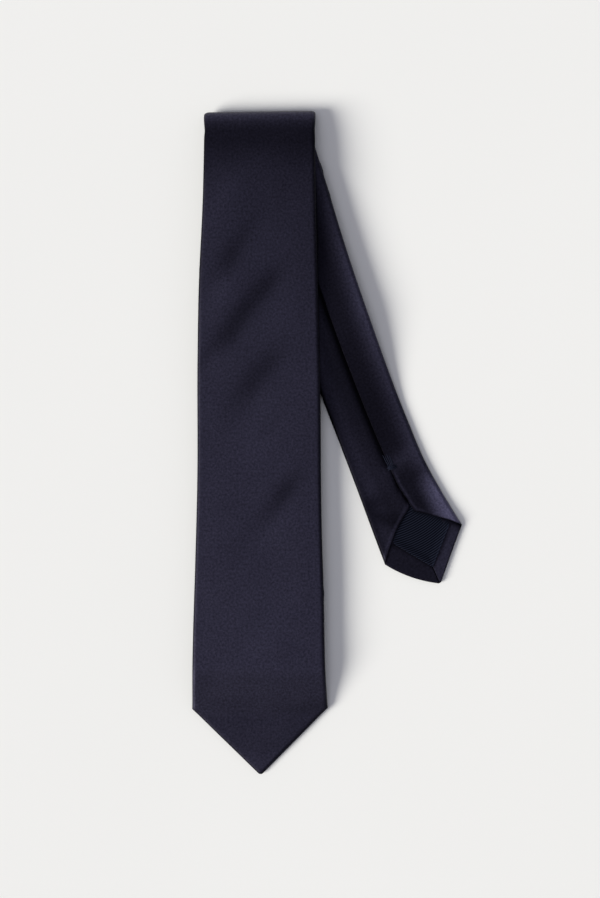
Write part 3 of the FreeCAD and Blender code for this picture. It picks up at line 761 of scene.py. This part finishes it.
def front_painted_light(a, x):
    """Painted light and shade of the front face: a painted highlight at the crest, painted shade below it and
    in the folds' valleys.
    """
    roll = np.interp(a, *np.array(ROLL_PAINTED_LIGHT).T) * (1 + FOLD_PAINTED_LIGHT * folds(a, x))
    length = np.interp(a, *np.array(LENGTH_PAINTED_LIGHT).T) + 0.26 * hump(a, TIP_PAINTED_HIGHLIGHT, 8.5)
    point = TIP_PAINTED_SHADE_START - 0.25 * np.maximum(x, 0.0)
    length = length - 0.24 * ease((a - point) / 9.0) + 0.15 * ease((a - TIP_PAINTED_SHADE_END) / 10.0)
    # painted shade on the right side near the top
    right = 1 - 0.18 * ease(x / 30.0) * hump(a, 65.0, 60.0)
    return np.where(a > 0, roll, 1.0) * length * right


front.lift = front_lift


def place_of_y(strip, y, low, high):
    """Distance along a strip where its middle line passes y, between two distances."""
    inside = (strip.a > low) & (strip.a < high)
    order = np.argsort(strip.line[inside, 1])
    return float(np.interp(y, strip.line[inside, 1][order], strip.a[inside][order]))


FRONT_SEAM_Y = -262.0       # bias seam between the blade's cloth and the neck's
TAIL_SEAM_Y = -38.0         # bias seam between the neck's cloth and the tail's
FRONT_SEAM = place_of_y(front, FRONT_SEAM_Y, BOTTOM_BEND[1], LOWER_CUT)
TAIL_SEAM = place_of_y(tail, TAIL_SEAM_Y, TAIL_START - 1.0, -45.0)


def seam_groove(seam):
    """How a bias seam pinches the strip, as a factor on its thickness."""
    return lambda a, x: 1 - 0.16 * hump(a - x, seam, 1.5)


front_rows = joined(
    stretch(NECK_START, BOTTOM_BEND[0] - 6, 5.0), stretch(BOTTOM_BEND[0] - 6, BOTTOM_BEND[1], 0.8),
    stretch(BOTTOM_BEND[1], FRONT_SEAM - 26.0, 5.0), stretch(FRONT_SEAM - 26.0, FRONT_SEAM + 30.0, 1.2),
    stretch(FRONT_SEAM + 30.0, LOWER_CUT, 5.0), stretch(LOWER_CUT, -22.0, 1.5), stretch(-22.0, 30.0, 0.7),
    stretch(30.0, FRONT_SHOULDER, 1.6))
front_outline = Outline(front_rows, front_sides, (FRONT_SHOULDER, -SHOULDER_HALF),
                        (FRONT_SHOULDER - 0.8, SHOULDER_HALF - 0.3), (FRONT_END, 0.2), 40)
front_end = PointedEnd(
    NECK_START, FRONT_TACK, [(FRONT_END - 78.0, 0.2)],
    ([(FRONT_END - 65.0, 0.8)], [(FRONT_END - 60.0, 1.8)]),
    ((FRONT_SHOULDER, -SHOULDER_HALF - 0.4), (FRONT_SHOULDER, SHOULDER_HALF + 0.4)),
    ((FRONT_END - 43.5, -32.0), (FRONT_END - 43.5, 32.0)),
    ((FRONT_END - 12.5, -0.5), (FRONT_END - 12.5, 0.5)), (FRONT_END, 0.0), 0.5)

front_sheets = Sheets(front)
add_face(front_sheets, front_outline, FRONT_HALF, front_painted_light, seam_groove(FRONT_SEAM), EDGE_SHADE)
add_wings(front_sheets, front_outline, front_end, FRONT_HALF, seam_groove(FRONT_SEAM))
add_hems(front_sheets, front_outline, front_end, FRONT_HALF)
front_surface = front_sheets.welded(roll_tilt)


# ---- Tail ----------------------------------------------------------------------------------
def tail_sides(a):
    neck = (TAIL_START, NECK_WIDTHS[0][1])
    return spline((neck,) + TAIL_LEFT, a), spline((neck,) + TAIL_RIGHT, a)


tail_rows = joined(stretch(TAIL_START, INNER_FOLD[0], 1.2), stretch(*INNER_FOLD, 0.8),
                   stretch(INNER_FOLD[1], 220.5, 1.5))
tail_outline = Outline(tail_rows, tail_sides, LEFT_CORNER, RIGHT_CORNER, TAIL_POINT, 34, LEFT_BOW)
# Painted light and shade of creases in the tail's wings, not shaped in the cloth: (distance, side, length,
# width, strength, turn in degrees)
TAIL_PAINTED_CREASES = ((170.0, 6.0, 7.0, 4.5, 1.0, 20.0), (200.0, -15.0, 13.0, 3.4, -0.5, -55.0),
                (186.0, -19.0, 7.0, 4.0, -0.35, -20.0), (203.0, -7.0, 8.0, 3.2, -0.35, -60.0),
                (178.0, -12.0, 12.0, 4.0, 0.12, 30.0), (181.0, 13.0, 10.0, 4.0, -0.25, 20.0))
TAIL_TACK = 171.5
tail_end = PointedEnd(
    TAIL_START, TAIL_TACK, [(TAIL_TACK, -0.9), (183.2, -0.7), (194.2, 0.8)],
    ([(197.9, 0.4), (200.9, -4.2), (208.0, -13.6), (215.0, -20.8)],
     [(201.2, 2.1), (204.7, 6.6), (207.8, 10.7), (214.9, 19.1)]),
    (LEFT_CORNER, RIGHT_CORNER), ((213.8, -16.9), (217.4, 17.3)), ((234.8, -2.7), (235.1, -1.5)), TAIL_POINT,
    1.6, TAIL_PAINTED_CREASES)
tail_sheets = Sheets(tail)
add_face(tail_sheets, tail_outline, TAIL_HALF, lambda a, x: 1 + 0 * a, seam_groove(TAIL_SEAM),
         TAIL_EDGE_SHADE)
add_wings(tail_sheets, tail_outline, tail_end, TAIL_HALF, seam_groove(TAIL_SEAM))
add_hems(tail_sheets, tail_outline, tail_end, TAIL_HALF)
tail_surface = tail_sheets.welded()


# ---- Interlining pads ----------------------------------------------------------------------
PAD_MIDDLE = 0.42           # the pad lies nearer to the face
PAD_HALF = 0.42
PAD_INSET = 2.4


def pad_surface(strip, rows, sides, corners, point, half, warp=None):
    """A thin wool strip inside the shell, with soft edges."""
    inner = Outline(rows, lambda a: [side - PAD_INSET for side in sides(a)], *corners, point, 14)
    sheets = Sheets(strip)
    a, x = inner.at(columns([0.0, 0.25, 0.7, 1.4], 3.4, half))
    thick = PAD_HALF * quarter_round(inner.edge_distance(a, x) / 1.2)
    sheets.add(a, x, PAD_MIDDLE + thick)
    sheets.add(a, x, PAD_MIDDLE - thick, flip=True)
    return sheets.welded(warp)


front_pad = pad_surface(
    front, joined(stretch(NECK_START, BOTTOM_BEND[0], 6.0), stretch(BOTTOM_BEND[0], BOTTOM_BEND[1], 1.0),
                  stretch(BOTTOM_BEND[1], LOWER_CUT, 6.0), stretch(LOWER_CUT, 30.0, 1.2),
                  stretch(30.0, FRONT_SHOULDER - 1.5, 4.0)),
    front_sides, ((FRONT_SHOULDER - 1.0, -SHOULDER_HALF + 2.2), (FRONT_SHOULDER - 1.0, SHOULDER_HALF - 2.2)),
    (FRONT_END - 3.6, 0.0), FRONT_HALF - 1.0, roll_tilt)
tail_pad = pad_surface(
    tail, joined(stretch(TAIL_START, INNER_FOLD[0], 6.0), stretch(*INNER_FOLD, 1.0),
                 stretch(INNER_FOLD[1], 218.0, 4.0)),
    tail_sides,
    ((LEFT_CORNER[0] - 1.5, LEFT_CORNER[1] + 2.6), (RIGHT_CORNER[0] - 1.5, RIGHT_CORNER[1] - 2.6)),
    (TAIL_POINT[0] - 3.6, TAIL_POINT[1]), TAIL_HALF - 1.0)


def pad_object(name, surface):
    """A pad's surface as a mesh with its cut ends closed."""
    obj = mesh_object(name, surface.points, surface.faces, surface.coords)
    form = bmesh.new()
    form.from_mesh(obj.data)
    open_edges = [e for e in form.edges if e.is_boundary]
    bmesh.ops.holes_fill(form, edges=open_edges, sides=0)
    form.to_mesh(obj.data)
    form.free()
    return obj


# ---- Ribbed linings inside the two points --------------------------------------------------
RIB_PITCH = 1.3
RIB_HEIGHT = 0.075
RIB_SWEEP = 0.0088          # how the ribs curve up towards the right, per mm
RIB_CENTRE = -5.2


def rib_line(place, x):
    """Where along the strip a rib lies at x; ribs sweep up towards the right."""
    return place - RIB_SWEEP * (x - RIB_CENTRE) ** 2


def reach(places, edge, start):
    """How far each rib goes from x = start before it meets an edge polyline."""
    edge_a, edge_x = np.array(edge).T

    def before(x):
        limit = np.interp(rib_line(places, x), edge_a, edge_x)
        return np.abs(x - start) < np.abs(limit - start)

    return bisect(np.full_like(places, start), np.full_like(places, 1.6 * edge_x[0]), before)


def ribbed_lining(strip, end):
    """A lining whose folded edges lie on the hems; its top runs in under the wings."""
    left_foot, right_foot = end.lining["left"][-1], end.lining["right"][-1]
    start = (left_foot[1] + right_foot[1]) / 2
    apex = end.opening["left"][0][0]
    low = apex - 20.0
    high = right_foot[0] + RIB_SWEEP * (start - RIB_CENTRE) ** 2
    places = stretch(low, high, RIB_PITCH / 8)[:, None]
    left, right = reach(places, end.lining["left"], start), reach(places, end.lining["right"], start)
    share = np.concatenate([[0, 0.004, 0.01, 0.02, 0.035, 0.06], np.linspace(0.1, 0.9, 17),
                            [0.94, 0.965, 0.98, 0.99, 0.996, 1.0]])[None, :]
    x = left + share * (right - left)
    a = rib_line(places, x)
    edge = distance_to(a, x, end.lining_rim)
    level = LINING_LEVEL + (LINING_EDGE_LEVEL - LINING_LEVEL) * (1 - ease((edge - 0.8) / 4.0))
    level = level - 0.6 * ease((apex - 3.0 - a) / 10.0) - lip(edge, 0.4)
    slack = 0.05 * np.sin(0.21 * a + 0.05 * x) + 0.05 * np.sin(0.13 * x - 0.08 * a + 1.0)
    rib = np.cos(2 * math.pi * places / RIB_PITCH) + 0 * x
    sheets = Sheets(strip)
    # painted highlight on the ribs' crests and shade between them, painted shade under the wings, and a
    # painted highlight along the right folded edge
    tone = (0.42 + 0.85 * rib ** 3) * under_wings(a, x, end)
    fold = distance_to(a, x, end.lining["right"][1:])
    tone = tone + 0.7 * hump(fold, 0.5, 0.5)
    sheets.add(a, x, -(level + RIB_HEIGHT * rib + slack), tone, flip=True)
    return sheets.welded()


# ---- Threads -------------------------------------------------------------------------------
def tube(curve, radius, sides=6):
    """Points and faces of a round thread along a curve."""
    tangent = np.gradient(curve, axis=0)
    tangent /= np.linalg.norm(tangent, axis=1)[:, None]
    reference = np.array([0.31, 0.17, 0.93])
    side = np.cross(tangent, reference)
    side /= np.linalg.norm(side, axis=1)[:, None]
    other = np.cross(tangent, side)
    angle = np.linspace(0, 2 * math.pi, sides, endpoint=False)
    ring = np.cos(angle)[None, :, None] * side[:, None] + np.sin(angle)[None, :, None] * other[:, None]
    points = (curve[:, None] + radius * ring).reshape(-1, 3)
    faces = []
    for k in range(len(curve) - 1):
        for j in range(sides):
            p, q = k * sides + j, k * sides + (j + 1) % sides
            faces.append([p, q, q + sides, p + sides])
    faces.append(list(range(sides))[::-1])
    faces.append([(len(curve) - 1) * sides + j for j in range(sides)])
    return points, faces


def thread_object(name, curves, radius):
    points, faces, count = [], [], 0
    for curve in curves:
        p, f = tube(curve, radius)
        points.append(p)
        faces += [[v + count for v in face] for face in f]
        count += len(p)
    return mesh_object(name, np.concatenate(points), faces)


def stitch(strip, start, end, level, rise, dip=0.35, count=9):
    """One stitch on the back, from start to end in strip coordinates, its ends going into the cloth."""
    t = np.linspace(0, 1, count)
    a = start[0] + t * (end[0] - start[0])
    x = start[1] + t * (end[1] - start[1])
    arch = np.sin(math.pi * t) ** 0.5
    return strip.place(a, x, -(level - dip + (dip + rise) * arch))


THREAD = 0.17
FINE_THREAD = 0.1
TACK_THREAD = 0.24
SLIP_PITCH = 15.0
SLIP_LENGTH = 9.0
SEAM_HALF = NECK_WIDTHS[0][1]
SEAM_LEVEL = -0.84 * HALF   # the bias seams' stitches are on the face, in the groove
LAP_LEVEL = HALF - WING_VALLEY + 0.05
SLIP_LEVEL = LAP_LEVEL - WING_DROP
HEM_STITCH_PITCH = 4.2
HEM_STITCH_LEVEL = LINING_EDGE_LEVEL - 0.3


def slip_stitches(strip, low, high):
    """Long loose stitches in the lap of the back."""
    return [stitch(strip, (s, -0.1), (s + SLIP_LENGTH, 0.1), SLIP_LEVEL, 0.12)
            for s in np.arange(low, high - SLIP_LENGTH, SLIP_PITCH)]


def seam_stitches(strip, seam):
    """Short stitches along a bias seam, on the face of the strip."""
    return [stitch(strip, (seam + x - 0.6, x - 0.6), (seam + x + 0.6, x + 0.6), SEAM_LEVEL, -0.05, -0.25, 5)
            for x in np.arange(4.0 - SEAM_HALF, SEAM_HALF - 3.0, 2.5)]


def hem_stitches(strip, end):
    """Tiny stitches from the hems' folds into the lining beside them."""
    curves = []
    for side in SIDES:
        line = np.array(end.lining[side][1:])
        steps = np.concatenate([[0], np.cumsum(np.linalg.norm(np.diff(line, axis=0), axis=1))])
        for s in np.arange(HEM_STITCH_PITCH / 2, steps[-1] - HEM_STITCH_PITCH / 3, HEM_STITCH_PITCH):
            a, x = np.interp(s, steps, line[:, 0]), np.interp(s, steps, line[:, 1])
            inward = -1.0 if x > 0 else 1.0
            curves.append(stitch(strip, (a - 0.5, x - 0.25 * inward), (a - 0.1, x + 0.6 * inward),
                                 HEM_STITCH_LEVEL, 0.1, 0.25, 7))
    return curves


def bar_tack(strip, a0, x0=0.4):
    """Threads along the lap, bound by a small knot at the opening's end."""
    curves = []
    for k, x in enumerate((-2.2, -1.1, 0.2, 1.3)):
        curves.append(stitch(strip, (a0 - 9.0 + 0.8 * (k % 2), x0 + x), (a0 + 0.2, x0 + 0.7 * x), LAP_LEVEL,
                             0.25 - 0.05 * abs(x), 0.5, 13))
    for k in range(6):
        a = a0 + 0.36 * (k - 2.5)
        wander = 0.5 * math.sin(2.1 * k)
        rise = 0.28 + 0.22 * math.cos(math.pi * (k - 2.5) / 6)
        curves.append(stitch(strip, (a - 0.5, x0 - 2.6 + wander), (a + 0.4, x0 + 3.0 + wander), LAP_LEVEL,
                             rise, 0.6, 13))
    return curves


# ---- Keeper loop under the blade -----------------------------------------------------------
keeper_low, keeper_high = box_mm("keeper_loop")
KEEPER_A = (place_of_y(front, float(keeper_high[1]), 60.0, FRONT_END),
            place_of_y(front, float(keeper_low[1]), 60.0, FRONT_END))
KEEPER_LEVEL = HALF + REST_Z - (keeper_low[2] + keeper_high[2]) / 2
KEEPER_THICK = 0.25
KEEPER_WIDTH = 14.0
KEEPER_TONE = 0.8
KEEPER_HALF = float(keeper_high[0])


def keeper_surface():
    """A flat folded band across the back, its ends lying on the wings."""
    sheets = Sheets(front)
    x = np.linspace(-KEEPER_HALF, KEEPER_HALF, 70)[None, :]
    across = np.concatenate([[0, 0.08, 0.25, 0.5, 0.9], np.linspace(1.6, KEEPER_WIDTH / 2, 5)])
    across = np.concatenate([across, KEEPER_WIDTH - across[-2::-1]])[:, None]
    a = KEEPER_A[0] + across / KEEPER_WIDTH * (KEEPER_A[1] - KEEPER_A[0]) + 0 * x
    d = np.minimum(np.minimum(across, KEEPER_WIDTH - across), KEEPER_HALF - np.abs(x))
    thick = np.where(d < 1e-6, 0.0, KEEPER_THICK * (0.25 + 0.75 * quarter_round(d / 0.35)))
    middle = KEEPER_LEVEL - 0.8 * ease((np.abs(x) - KEEPER_HALF + 10.0) / 8.0)
    sheets.add(a, x, -(middle + thick), tone=KEEPER_TONE, flip=True)
    sheets.add(a, x, -(middle - thick), tone=KEEPER_TONE)
    return sheets.welded()


def keeper_tack_curves():
    curves = []
    for x in (1.6 - KEEPER_HALF, KEEPER_HALF - 1.6):
        for k in range(5):
            a = KEEPER_A[0] + 1.6 + k * 2.7
            curves.append(stitch(front, (a, x - 0.9), (a + 0.3, x + 0.9), KEEPER_LEVEL - 0.6, 0.1))
    return curves


# ---- Materials -----------------------------------------------------------------------------
class Shader:
    """A small helper around one material's nodes."""

    def __init__(self, name):
        self.material = bpy.data.materials.new(name)
        self.material.use_nodes = True
        self.nodes = self.material.node_tree.nodes
        self.links = self.material.node_tree.links
        self.surface = self.nodes["Principled BSDF"]

    def feed(self, socket, value):
        """A value for a socket, or a link when the value is another node's output."""
        if hasattr(value, "is_output"):
            self.links.new(value, socket)
        else:
            socket.default_value = value

    def node(self, kind, **inputs):
        node = self.nodes.new(kind)
        for name, value in inputs.items():
            self.feed(node.inputs[name], value)
        return node

    def math(self, operation, first, second=0.0, third=0.0):
        node = self.nodes.new("ShaderNodeMath")
        node.operation = operation
        for socket, value in zip(node.inputs, (first, second, third)):
            self.feed(socket, value)
        return node.outputs[0]

    def line(self, value, slope, start):
        return self.math("MULTIPLY_ADD", value, slope, start)

    def times(self, first, second):
        return self.math("MULTIPLY", first, second)

    def tone(self):
        """The colour and gloss factor stored on the mesh's points, which carries the painted light and shade.
        """
        source = self.nodes.new("ShaderNodeAttribute")
        source.attribute_name = "tone"
        return source.outputs["Fac"]

    def strip_place(self, scale=(1.0, 1.0, 1.0), turn=0.0):
        """Position on the cloth, turned and scaled, in metres."""
        source = self.nodes.new("ShaderNodeUVMap")
        source.uv_map = "strip"
        mapping = self.nodes.new("ShaderNodeMapping")
        mapping.inputs["Rotation"].default_value = (0, 0, turn)
        mapping.inputs["Scale"].default_value = scale
        self.links.new(source.outputs[0], mapping.inputs[0])
        return mapping.outputs[0]

    def object_place(self):
        return self.nodes.new("ShaderNodeTexCoord").outputs["Object"]

    def noise(self, place, scale, detail=2.0, roughness=0.5):
        node = self.node("ShaderNodeTexNoise", Vector=place, Scale=scale, Detail=detail, Roughness=roughness)
        return node.outputs["Fac"]

    def bands(self, place, pitch):
        """A sine of the place's x with the given pitch in metres, 0 to 1."""
        split = self.node("ShaderNodeSeparateXYZ", Vector=place)
        angle = self.times(split.outputs[0], 2 * math.pi / pitch)
        return self.line(self.math("SINE", angle), 0.5, 0.5)

    def colour(self, base, factor):
        """The base colour times a factor."""
        mix = self.node("ShaderNodeVectorMath")
        mix.operation = "SCALE"
        mix.inputs[0].default_value = base
        self.links.new(factor, mix.inputs["Scale"])
        self.links.new(mix.outputs[0], self.surface.inputs["Base Color"])

    def bump(self, height, strength, distance):
        node = self.node("ShaderNodeBump", Height=height, Strength=strength, Distance=distance)
        self.links.new(node.outputs[0], self.surface.inputs["Normal"])

    def finish(self, **values):
        for key, value in values.items():
            self.feed(self.surface.inputs[key.replace("_", " ")], value)
        return self.material


def shell_material():
    """Dark navy silk twill cut on the bias."""
    s = Shader("silk_twill")
    ribs = s.bands(s.strip_place(turn=math.radians(45)), TWILL_PITCH)
    picks = s.bands(s.strip_place(turn=math.radians(-45)), PICK_PITCH)
    weave = s.line(picks, 0.35, ribs)
    slub = s.noise(s.strip_place(scale=(1.0, 0.22, 1.0), turn=math.radians(45)), 2600.0, 2.0)
    cloud = s.noise(s.strip_place(), 55.0, 3.0)
    fine = s.noise(s.strip_place(), 720.0, 4.0, 0.65)
    factor = s.line(cloud, 0.30, 0.85)
    factor = s.times(factor, s.line(slub, 0.5, 0.75))
    factor = s.times(factor, s.line(fine, 2.0, 0.0))
    factor = s.times(factor, s.line(ribs, 0.16, 0.92))
    factor = s.times(factor, s.tone())
    grazing = s.nodes.new("ShaderNodeLayerWeight").outputs["Facing"]
    glance = s.line(s.math("POWER", grazing, 1.5), -0.85, 1.0)
    s.colour(SHELL_COLOUR, factor)
    s.bump(s.line(slub, 0.6, weave), 0.35, 0.00006)
    return s.finish(Roughness=s.line(cloud, 0.06, 0.42),
                    Specular_IOR_Level=s.times(s.times(factor, 0.42), glance),
                    Specular_Tint=(0.63, 0.595, 0.97, 1.0),
                    Sheen_Weight=0.06, Sheen_Roughness=0.35, Sheen_Tint=(0.45, 0.42, 0.70, 1.0))


def lining_material():
    """Dark blue ribbed lining cloth, glossier where its painted light is brighter, as on the ribs."""
    s = Shader("ribbed_lining")
    fine = s.noise(s.strip_place(), 1800.0, 2.0)
    factor = s.line(s.tone(), 1.1, 0.35)
    factor = s.times(factor, s.line(fine, 0.5, 0.75))
    s.colour(LINING_COLOUR, factor)
    s.bump(fine, 0.25, 0.00008)
    return s.finish(Roughness=0.5, Specular_IOR_Level=s.times(factor, 0.17),
                    Specular_Tint=(0.50, 0.62, 1.0, 1.0))


def wool_material():
    s = Shader("wool_felt")
    fibre = s.noise(s.object_place(), 900.0, 6.0, 0.7)
    cloud = s.noise(s.object_place(), 140.0, 3.0)
    factor = s.times(s.line(fibre, 0.7, 0.65), s.line(cloud, 0.3, 0.85))
    s.colour((0.52, 0.49, 0.42), factor)
    s.bump(fibre, 0.8, 0.0003)
    return s.finish(Roughness=0.95, Specular_IOR_Level=0.1, Sheen_Weight=0.4, Sheen_Roughness=0.6)


def thread_material():
    s = Shader("dark_thread")
    twist = s.noise(s.object_place(), 3200.0, 2.0)
    s.colour((0.006, 0.007, 0.013), s.line(twist, 0.9, 0.55))
    s.bump(twist, 0.5, 0.0001)
    return s.finish(Roughness=0.5, Specular_IOR_Level=0.2, Specular_Tint=(0.5, 0.58, 1.0, 1.0))


TWILL_PITCH = 0.00048       # metres, as all lengths in the materials are
PICK_PITCH = 0.00031
SHELL_COLOUR = (0.0050, 0.0046, 0.0086)
LINING_COLOUR = (0.0042, 0.0046, 0.0088)
silk, lining, wool, thread = shell_material(), lining_material(), wool_material(), thread_material()


# ---- The pieces ----------------------------------------------------------------------------
POINT_BEND = 50.0           # mm of cloth that take up the front point's bend
PIVOT_DIRECTION = np.array([math.sin(TAIL_HEADING), -math.cos(TAIL_HEADING), 0.0])
TAIL_BEND_END = 200.0       # mm past the pivot, where the tail's end bend is complete
tip_x, tip_y, _ = tail_line(TAIL_BEND_END)


# motion: the two bodies, and where the bend between them starts and ends
BLENDS = {
    "bend_blade": ("front_blade", "front_tip", (0, FRONT_HINGE[1], 0), (0, FRONT_HINGE[1] - POINT_BEND, 0)),
    "bend_roll": ("front_blade", "front_roll", (0, 7.0, 12.7), (0, CREST_Y - LAYER, ROLL_CREST_Z)),
    "bend_neck": ("neck", "front_roll", (0, 7.0, 2.5), (0, CREST_Y - LAYER, ROLL_CREST_Z)),
    "bend_tail": ("neck", "tail", PIVOT - 22.0 * PIVOT_DIRECTION, PIVOT + 60.0 * PIVOT_DIRECTION),
    "bend_point": ("tail", "tail_tip", TAIL_HINGE * [1, 1, 0], (tip_x, tip_y, 0)),
}
TAIL_CUTS = (INNER_FOLD[1], 75.0)


def bind(obj, motion, material, slot, *nodes):
    """Gives a piece its finish, attaches it to its body or bakes it in place for a bend, and hides the CAD
    nodes it stands for.
    """
    obj.data.materials.append(material)
    if motion in BLENDS:
        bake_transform(obj)
    else:
        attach(obj, motion)
    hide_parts(*nodes)
    return obj


FAR = 1000.0                # past either end of a strip
inner_fold = tail_surface.part(TAIL_SEAM, FAR, low_skew=1.0).part(-FAR, TAIL_CUTS[0])
for name, surface, motion, *nodes in (
        ("front_cloth", front_surface.part(ROLL_CUT, FAR), "bend_blade", "front_shell", "front_tip_shell"),
        ("roll_upper_cloth", front_surface.part(0.0, ROLL_CUT), "bend_roll", "front_roll_shell"),
        ("neck_front_cloth", front_surface.part(FRONT_SEAM, 0.0, low_skew=1.0), "bend_neck",
         "neck_front_shell"),
        ("neck_gusset_cloth", front_surface.part(-FAR, FRONT_SEAM, high_skew=1.0), "neck",
         "neck_gusset_shell"),
        ("gusset_end_cloth", tail_surface.part(-FAR, TAIL_SEAM, high_skew=1.0), "neck", "neck_gusset_shell"),
        ("inner_fold_cloth", inner_fold, "neck", "neck_tail_shell"),
        ("tail_cloth", tail_surface.part(*TAIL_CUTS), "bend_tail", "tail_shell"),
        ("tail_point_cloth", tail_surface.part(TAIL_CUTS[1], FAR), "bend_point", "tail_tip_shell")):
    bind(cloth_object(name, surface), motion, silk, "shell_cloth", *nodes)

for name, pad, low, high, motion, nodes in (
        ("front_pad", front_pad, ROLL_CUT, FAR, "bend_blade", ("front_interlining", "front_tip_interlining")),
        ("roll_upper_pad", front_pad, 0.0, ROLL_CUT, "bend_roll", ("front_roll_interlining",)),
        ("neck_lower_pad", front_pad, -FAR, 0.0, "bend_neck", ("neck_interlining",)),
        ("inner_fold_pad", tail_pad, -FAR, TAIL_CUTS[0], "neck", ("neck_interlining",)),
        ("tail_pad", tail_pad, TAIL_CUTS[0], TAIL_CUTS[1], "bend_tail", ("tail_interlining",)),
        ("tail_point_pad", tail_pad, TAIL_CUTS[1], FAR, "bend_point", ("tail_tip_interlining",))):
    bind(pad_object(name, pad.part(low, high)), motion, wool, "interlining_wool", *nodes)

for name, strip, end, motion, node in (("front_lining", front, front_end, "bend_blade", "front_tipping"),
                                       ("tail_lining", tail, tail_end, "bend_point", "tail_tipping")):
    bind(cloth_object(name, ribbed_lining(strip, end), LINING_CLOTH), motion, lining, "tipping_cloth", node)

for name, curves, radius, motion, node in (
        ("front_lap_stitches", slip_stitches(front, 60.0, FRONT_END - 108.0), THREAD, "bend_blade",
         "front_slip_stitch"),
        ("neck_lap_stitches", slip_stitches(front, NECK_START + 8.0, BOTTOM_BEND[0] - 4.0)
         + slip_stitches(front, BOTTOM_BEND[1] + 6.0, LOWER_CUT), THREAD, "neck", "neck_slip_stitch"),
        ("tail_upper_lap_stitches", slip_stitches(tail, -16.0, TAIL_CUTS[1] - 1.0), THREAD, "bend_tail",
         "tail_slip_stitch"),
        ("tail_lower_lap_stitches", slip_stitches(tail, TAIL_CUTS[1] + 1.0, TAIL_TACK - 9.5), THREAD,
         "bend_point", "tail_slip_stitch"),
        ("front_seam_stitches", seam_stitches(front, FRONT_SEAM), THREAD, "neck", "front_joining_seam"),
        ("tail_seam_stitches", seam_stitches(tail, TAIL_SEAM), THREAD, "neck", "tail_joining_seam"),
        ("front_lining_stitches", hem_stitches(front, front_end), FINE_THREAD, "bend_blade",
         "front_tipping_stitches"),
        ("tail_lining_stitches", hem_stitches(tail, tail_end), FINE_THREAD, "bend_point",
         "tail_tipping_stitches"),
        ("front_tack", bar_tack(front, FRONT_TACK), TACK_THREAD, "bend_blade", "front_bar_tack"),
        ("tail_tack", bar_tack(tail, TAIL_TACK + 1.0), TACK_THREAD, "bend_point", "tail_bar_tack"),
        ("keeper_tacks", keeper_tack_curves(), THREAD, "front_blade", "keeper_loop_tacks")):
    bind(thread_object(name, curves, radius), motion, thread, "thread", node)
keeper = keeper_surface()
keeper_band = mesh_object("keeper_band", keeper.points, keeper.faces, keeper.coords, tones=keeper.tones)
bind(keeper_band, "front_blade", silk, "shell_cloth", "keeper_loop")


# ---- Floor, light and camera ---------------------------------------------------------------
VIEW_CENTRE = np.array([23.3, -186.2, 0.0])
VIEW_WIDTH = 352.8
VIEW_DISTANCE = 1500.0
SENSOR = 36.0
# name, height and spread in degrees, power, colour
LIGHTS = (("key_softbox", 30.0, 30.0, 4.15, (1.0, 0.985, 0.92)),
          ("top_softbox", 80.0, 40.0, 0.50, (0.93, 0.94, 1.06)))
LIGHT_HEADING = math.atan2(-9.0, -20.0)
FILL_COLOUR = (0.93, 0.94, 1.06, 1.0)
FILL_POWER = 0.22
LIGHT_DISTANCE = 1.5        # metres


def floor_material():
    s = Shader("matt_board")
    cloud = s.noise(s.object_place(), 4.0, 3.0)
    s.colour((0.86, 0.86, 0.845), s.line(cloud, 0.03, 0.985))
    return s.finish(Roughness=0.9, Specular_IOR_Level=0.1)


FLOOR = 20000.0             # half its width
corners = np.array([[-FLOOR, -FLOOR, 0.0], [FLOOR, -FLOOR, 0.0], [FLOOR, FLOOR, 0.0], [-FLOOR, FLOOR, 0.0]])
floor = mesh_object("floor", corners, [[0, 1, 2, 3]])
floor.data.materials.append(floor_material())

scene = bpy.context.scene
scene.view_settings.view_transform = "Standard"
world = bpy.data.worlds.new("studio")
world.use_nodes = True
world.node_tree.nodes["Background"].inputs["Color"].default_value = FILL_COLOUR
world.node_tree.nodes["Background"].inputs["Strength"].default_value = FILL_POWER
scene.world = world

aim = VIEW_CENTRE * MM
for name, height, spread, power, colour in LIGHTS:
    flat = math.cos(math.radians(height))
    direction = np.array([math.cos(LIGHT_HEADING) * flat, math.sin(LIGHT_HEADING) * flat,
                          math.sin(math.radians(height))])
    lamp = bpy.data.lights.new(name, "SUN")
    lamp.angle = math.radians(spread)
    lamp.energy = power
    lamp.color = colour
    softbox = bpy.data.objects.new(name, lamp)
    scene.collection.objects.link(softbox)
    softbox.location = aim + LIGHT_DISTANCE * direction
    softbox.rotation_euler = Vector(direction).to_track_quat("Z", "Y").to_euler()

lens = bpy.data.cameras.new("camera")
lens.sensor_fit = "HORIZONTAL"
lens.sensor_width = SENSOR
lens.lens = SENSOR * VIEW_DISTANCE / VIEW_WIDTH
lens.clip_end = 20.0
camera = bpy.data.objects.new("camera", lens)
scene.collection.objects.link(camera)
camera.location = (aim[0], aim[1], VIEW_DISTANCE * MM)
scene.camera = camera
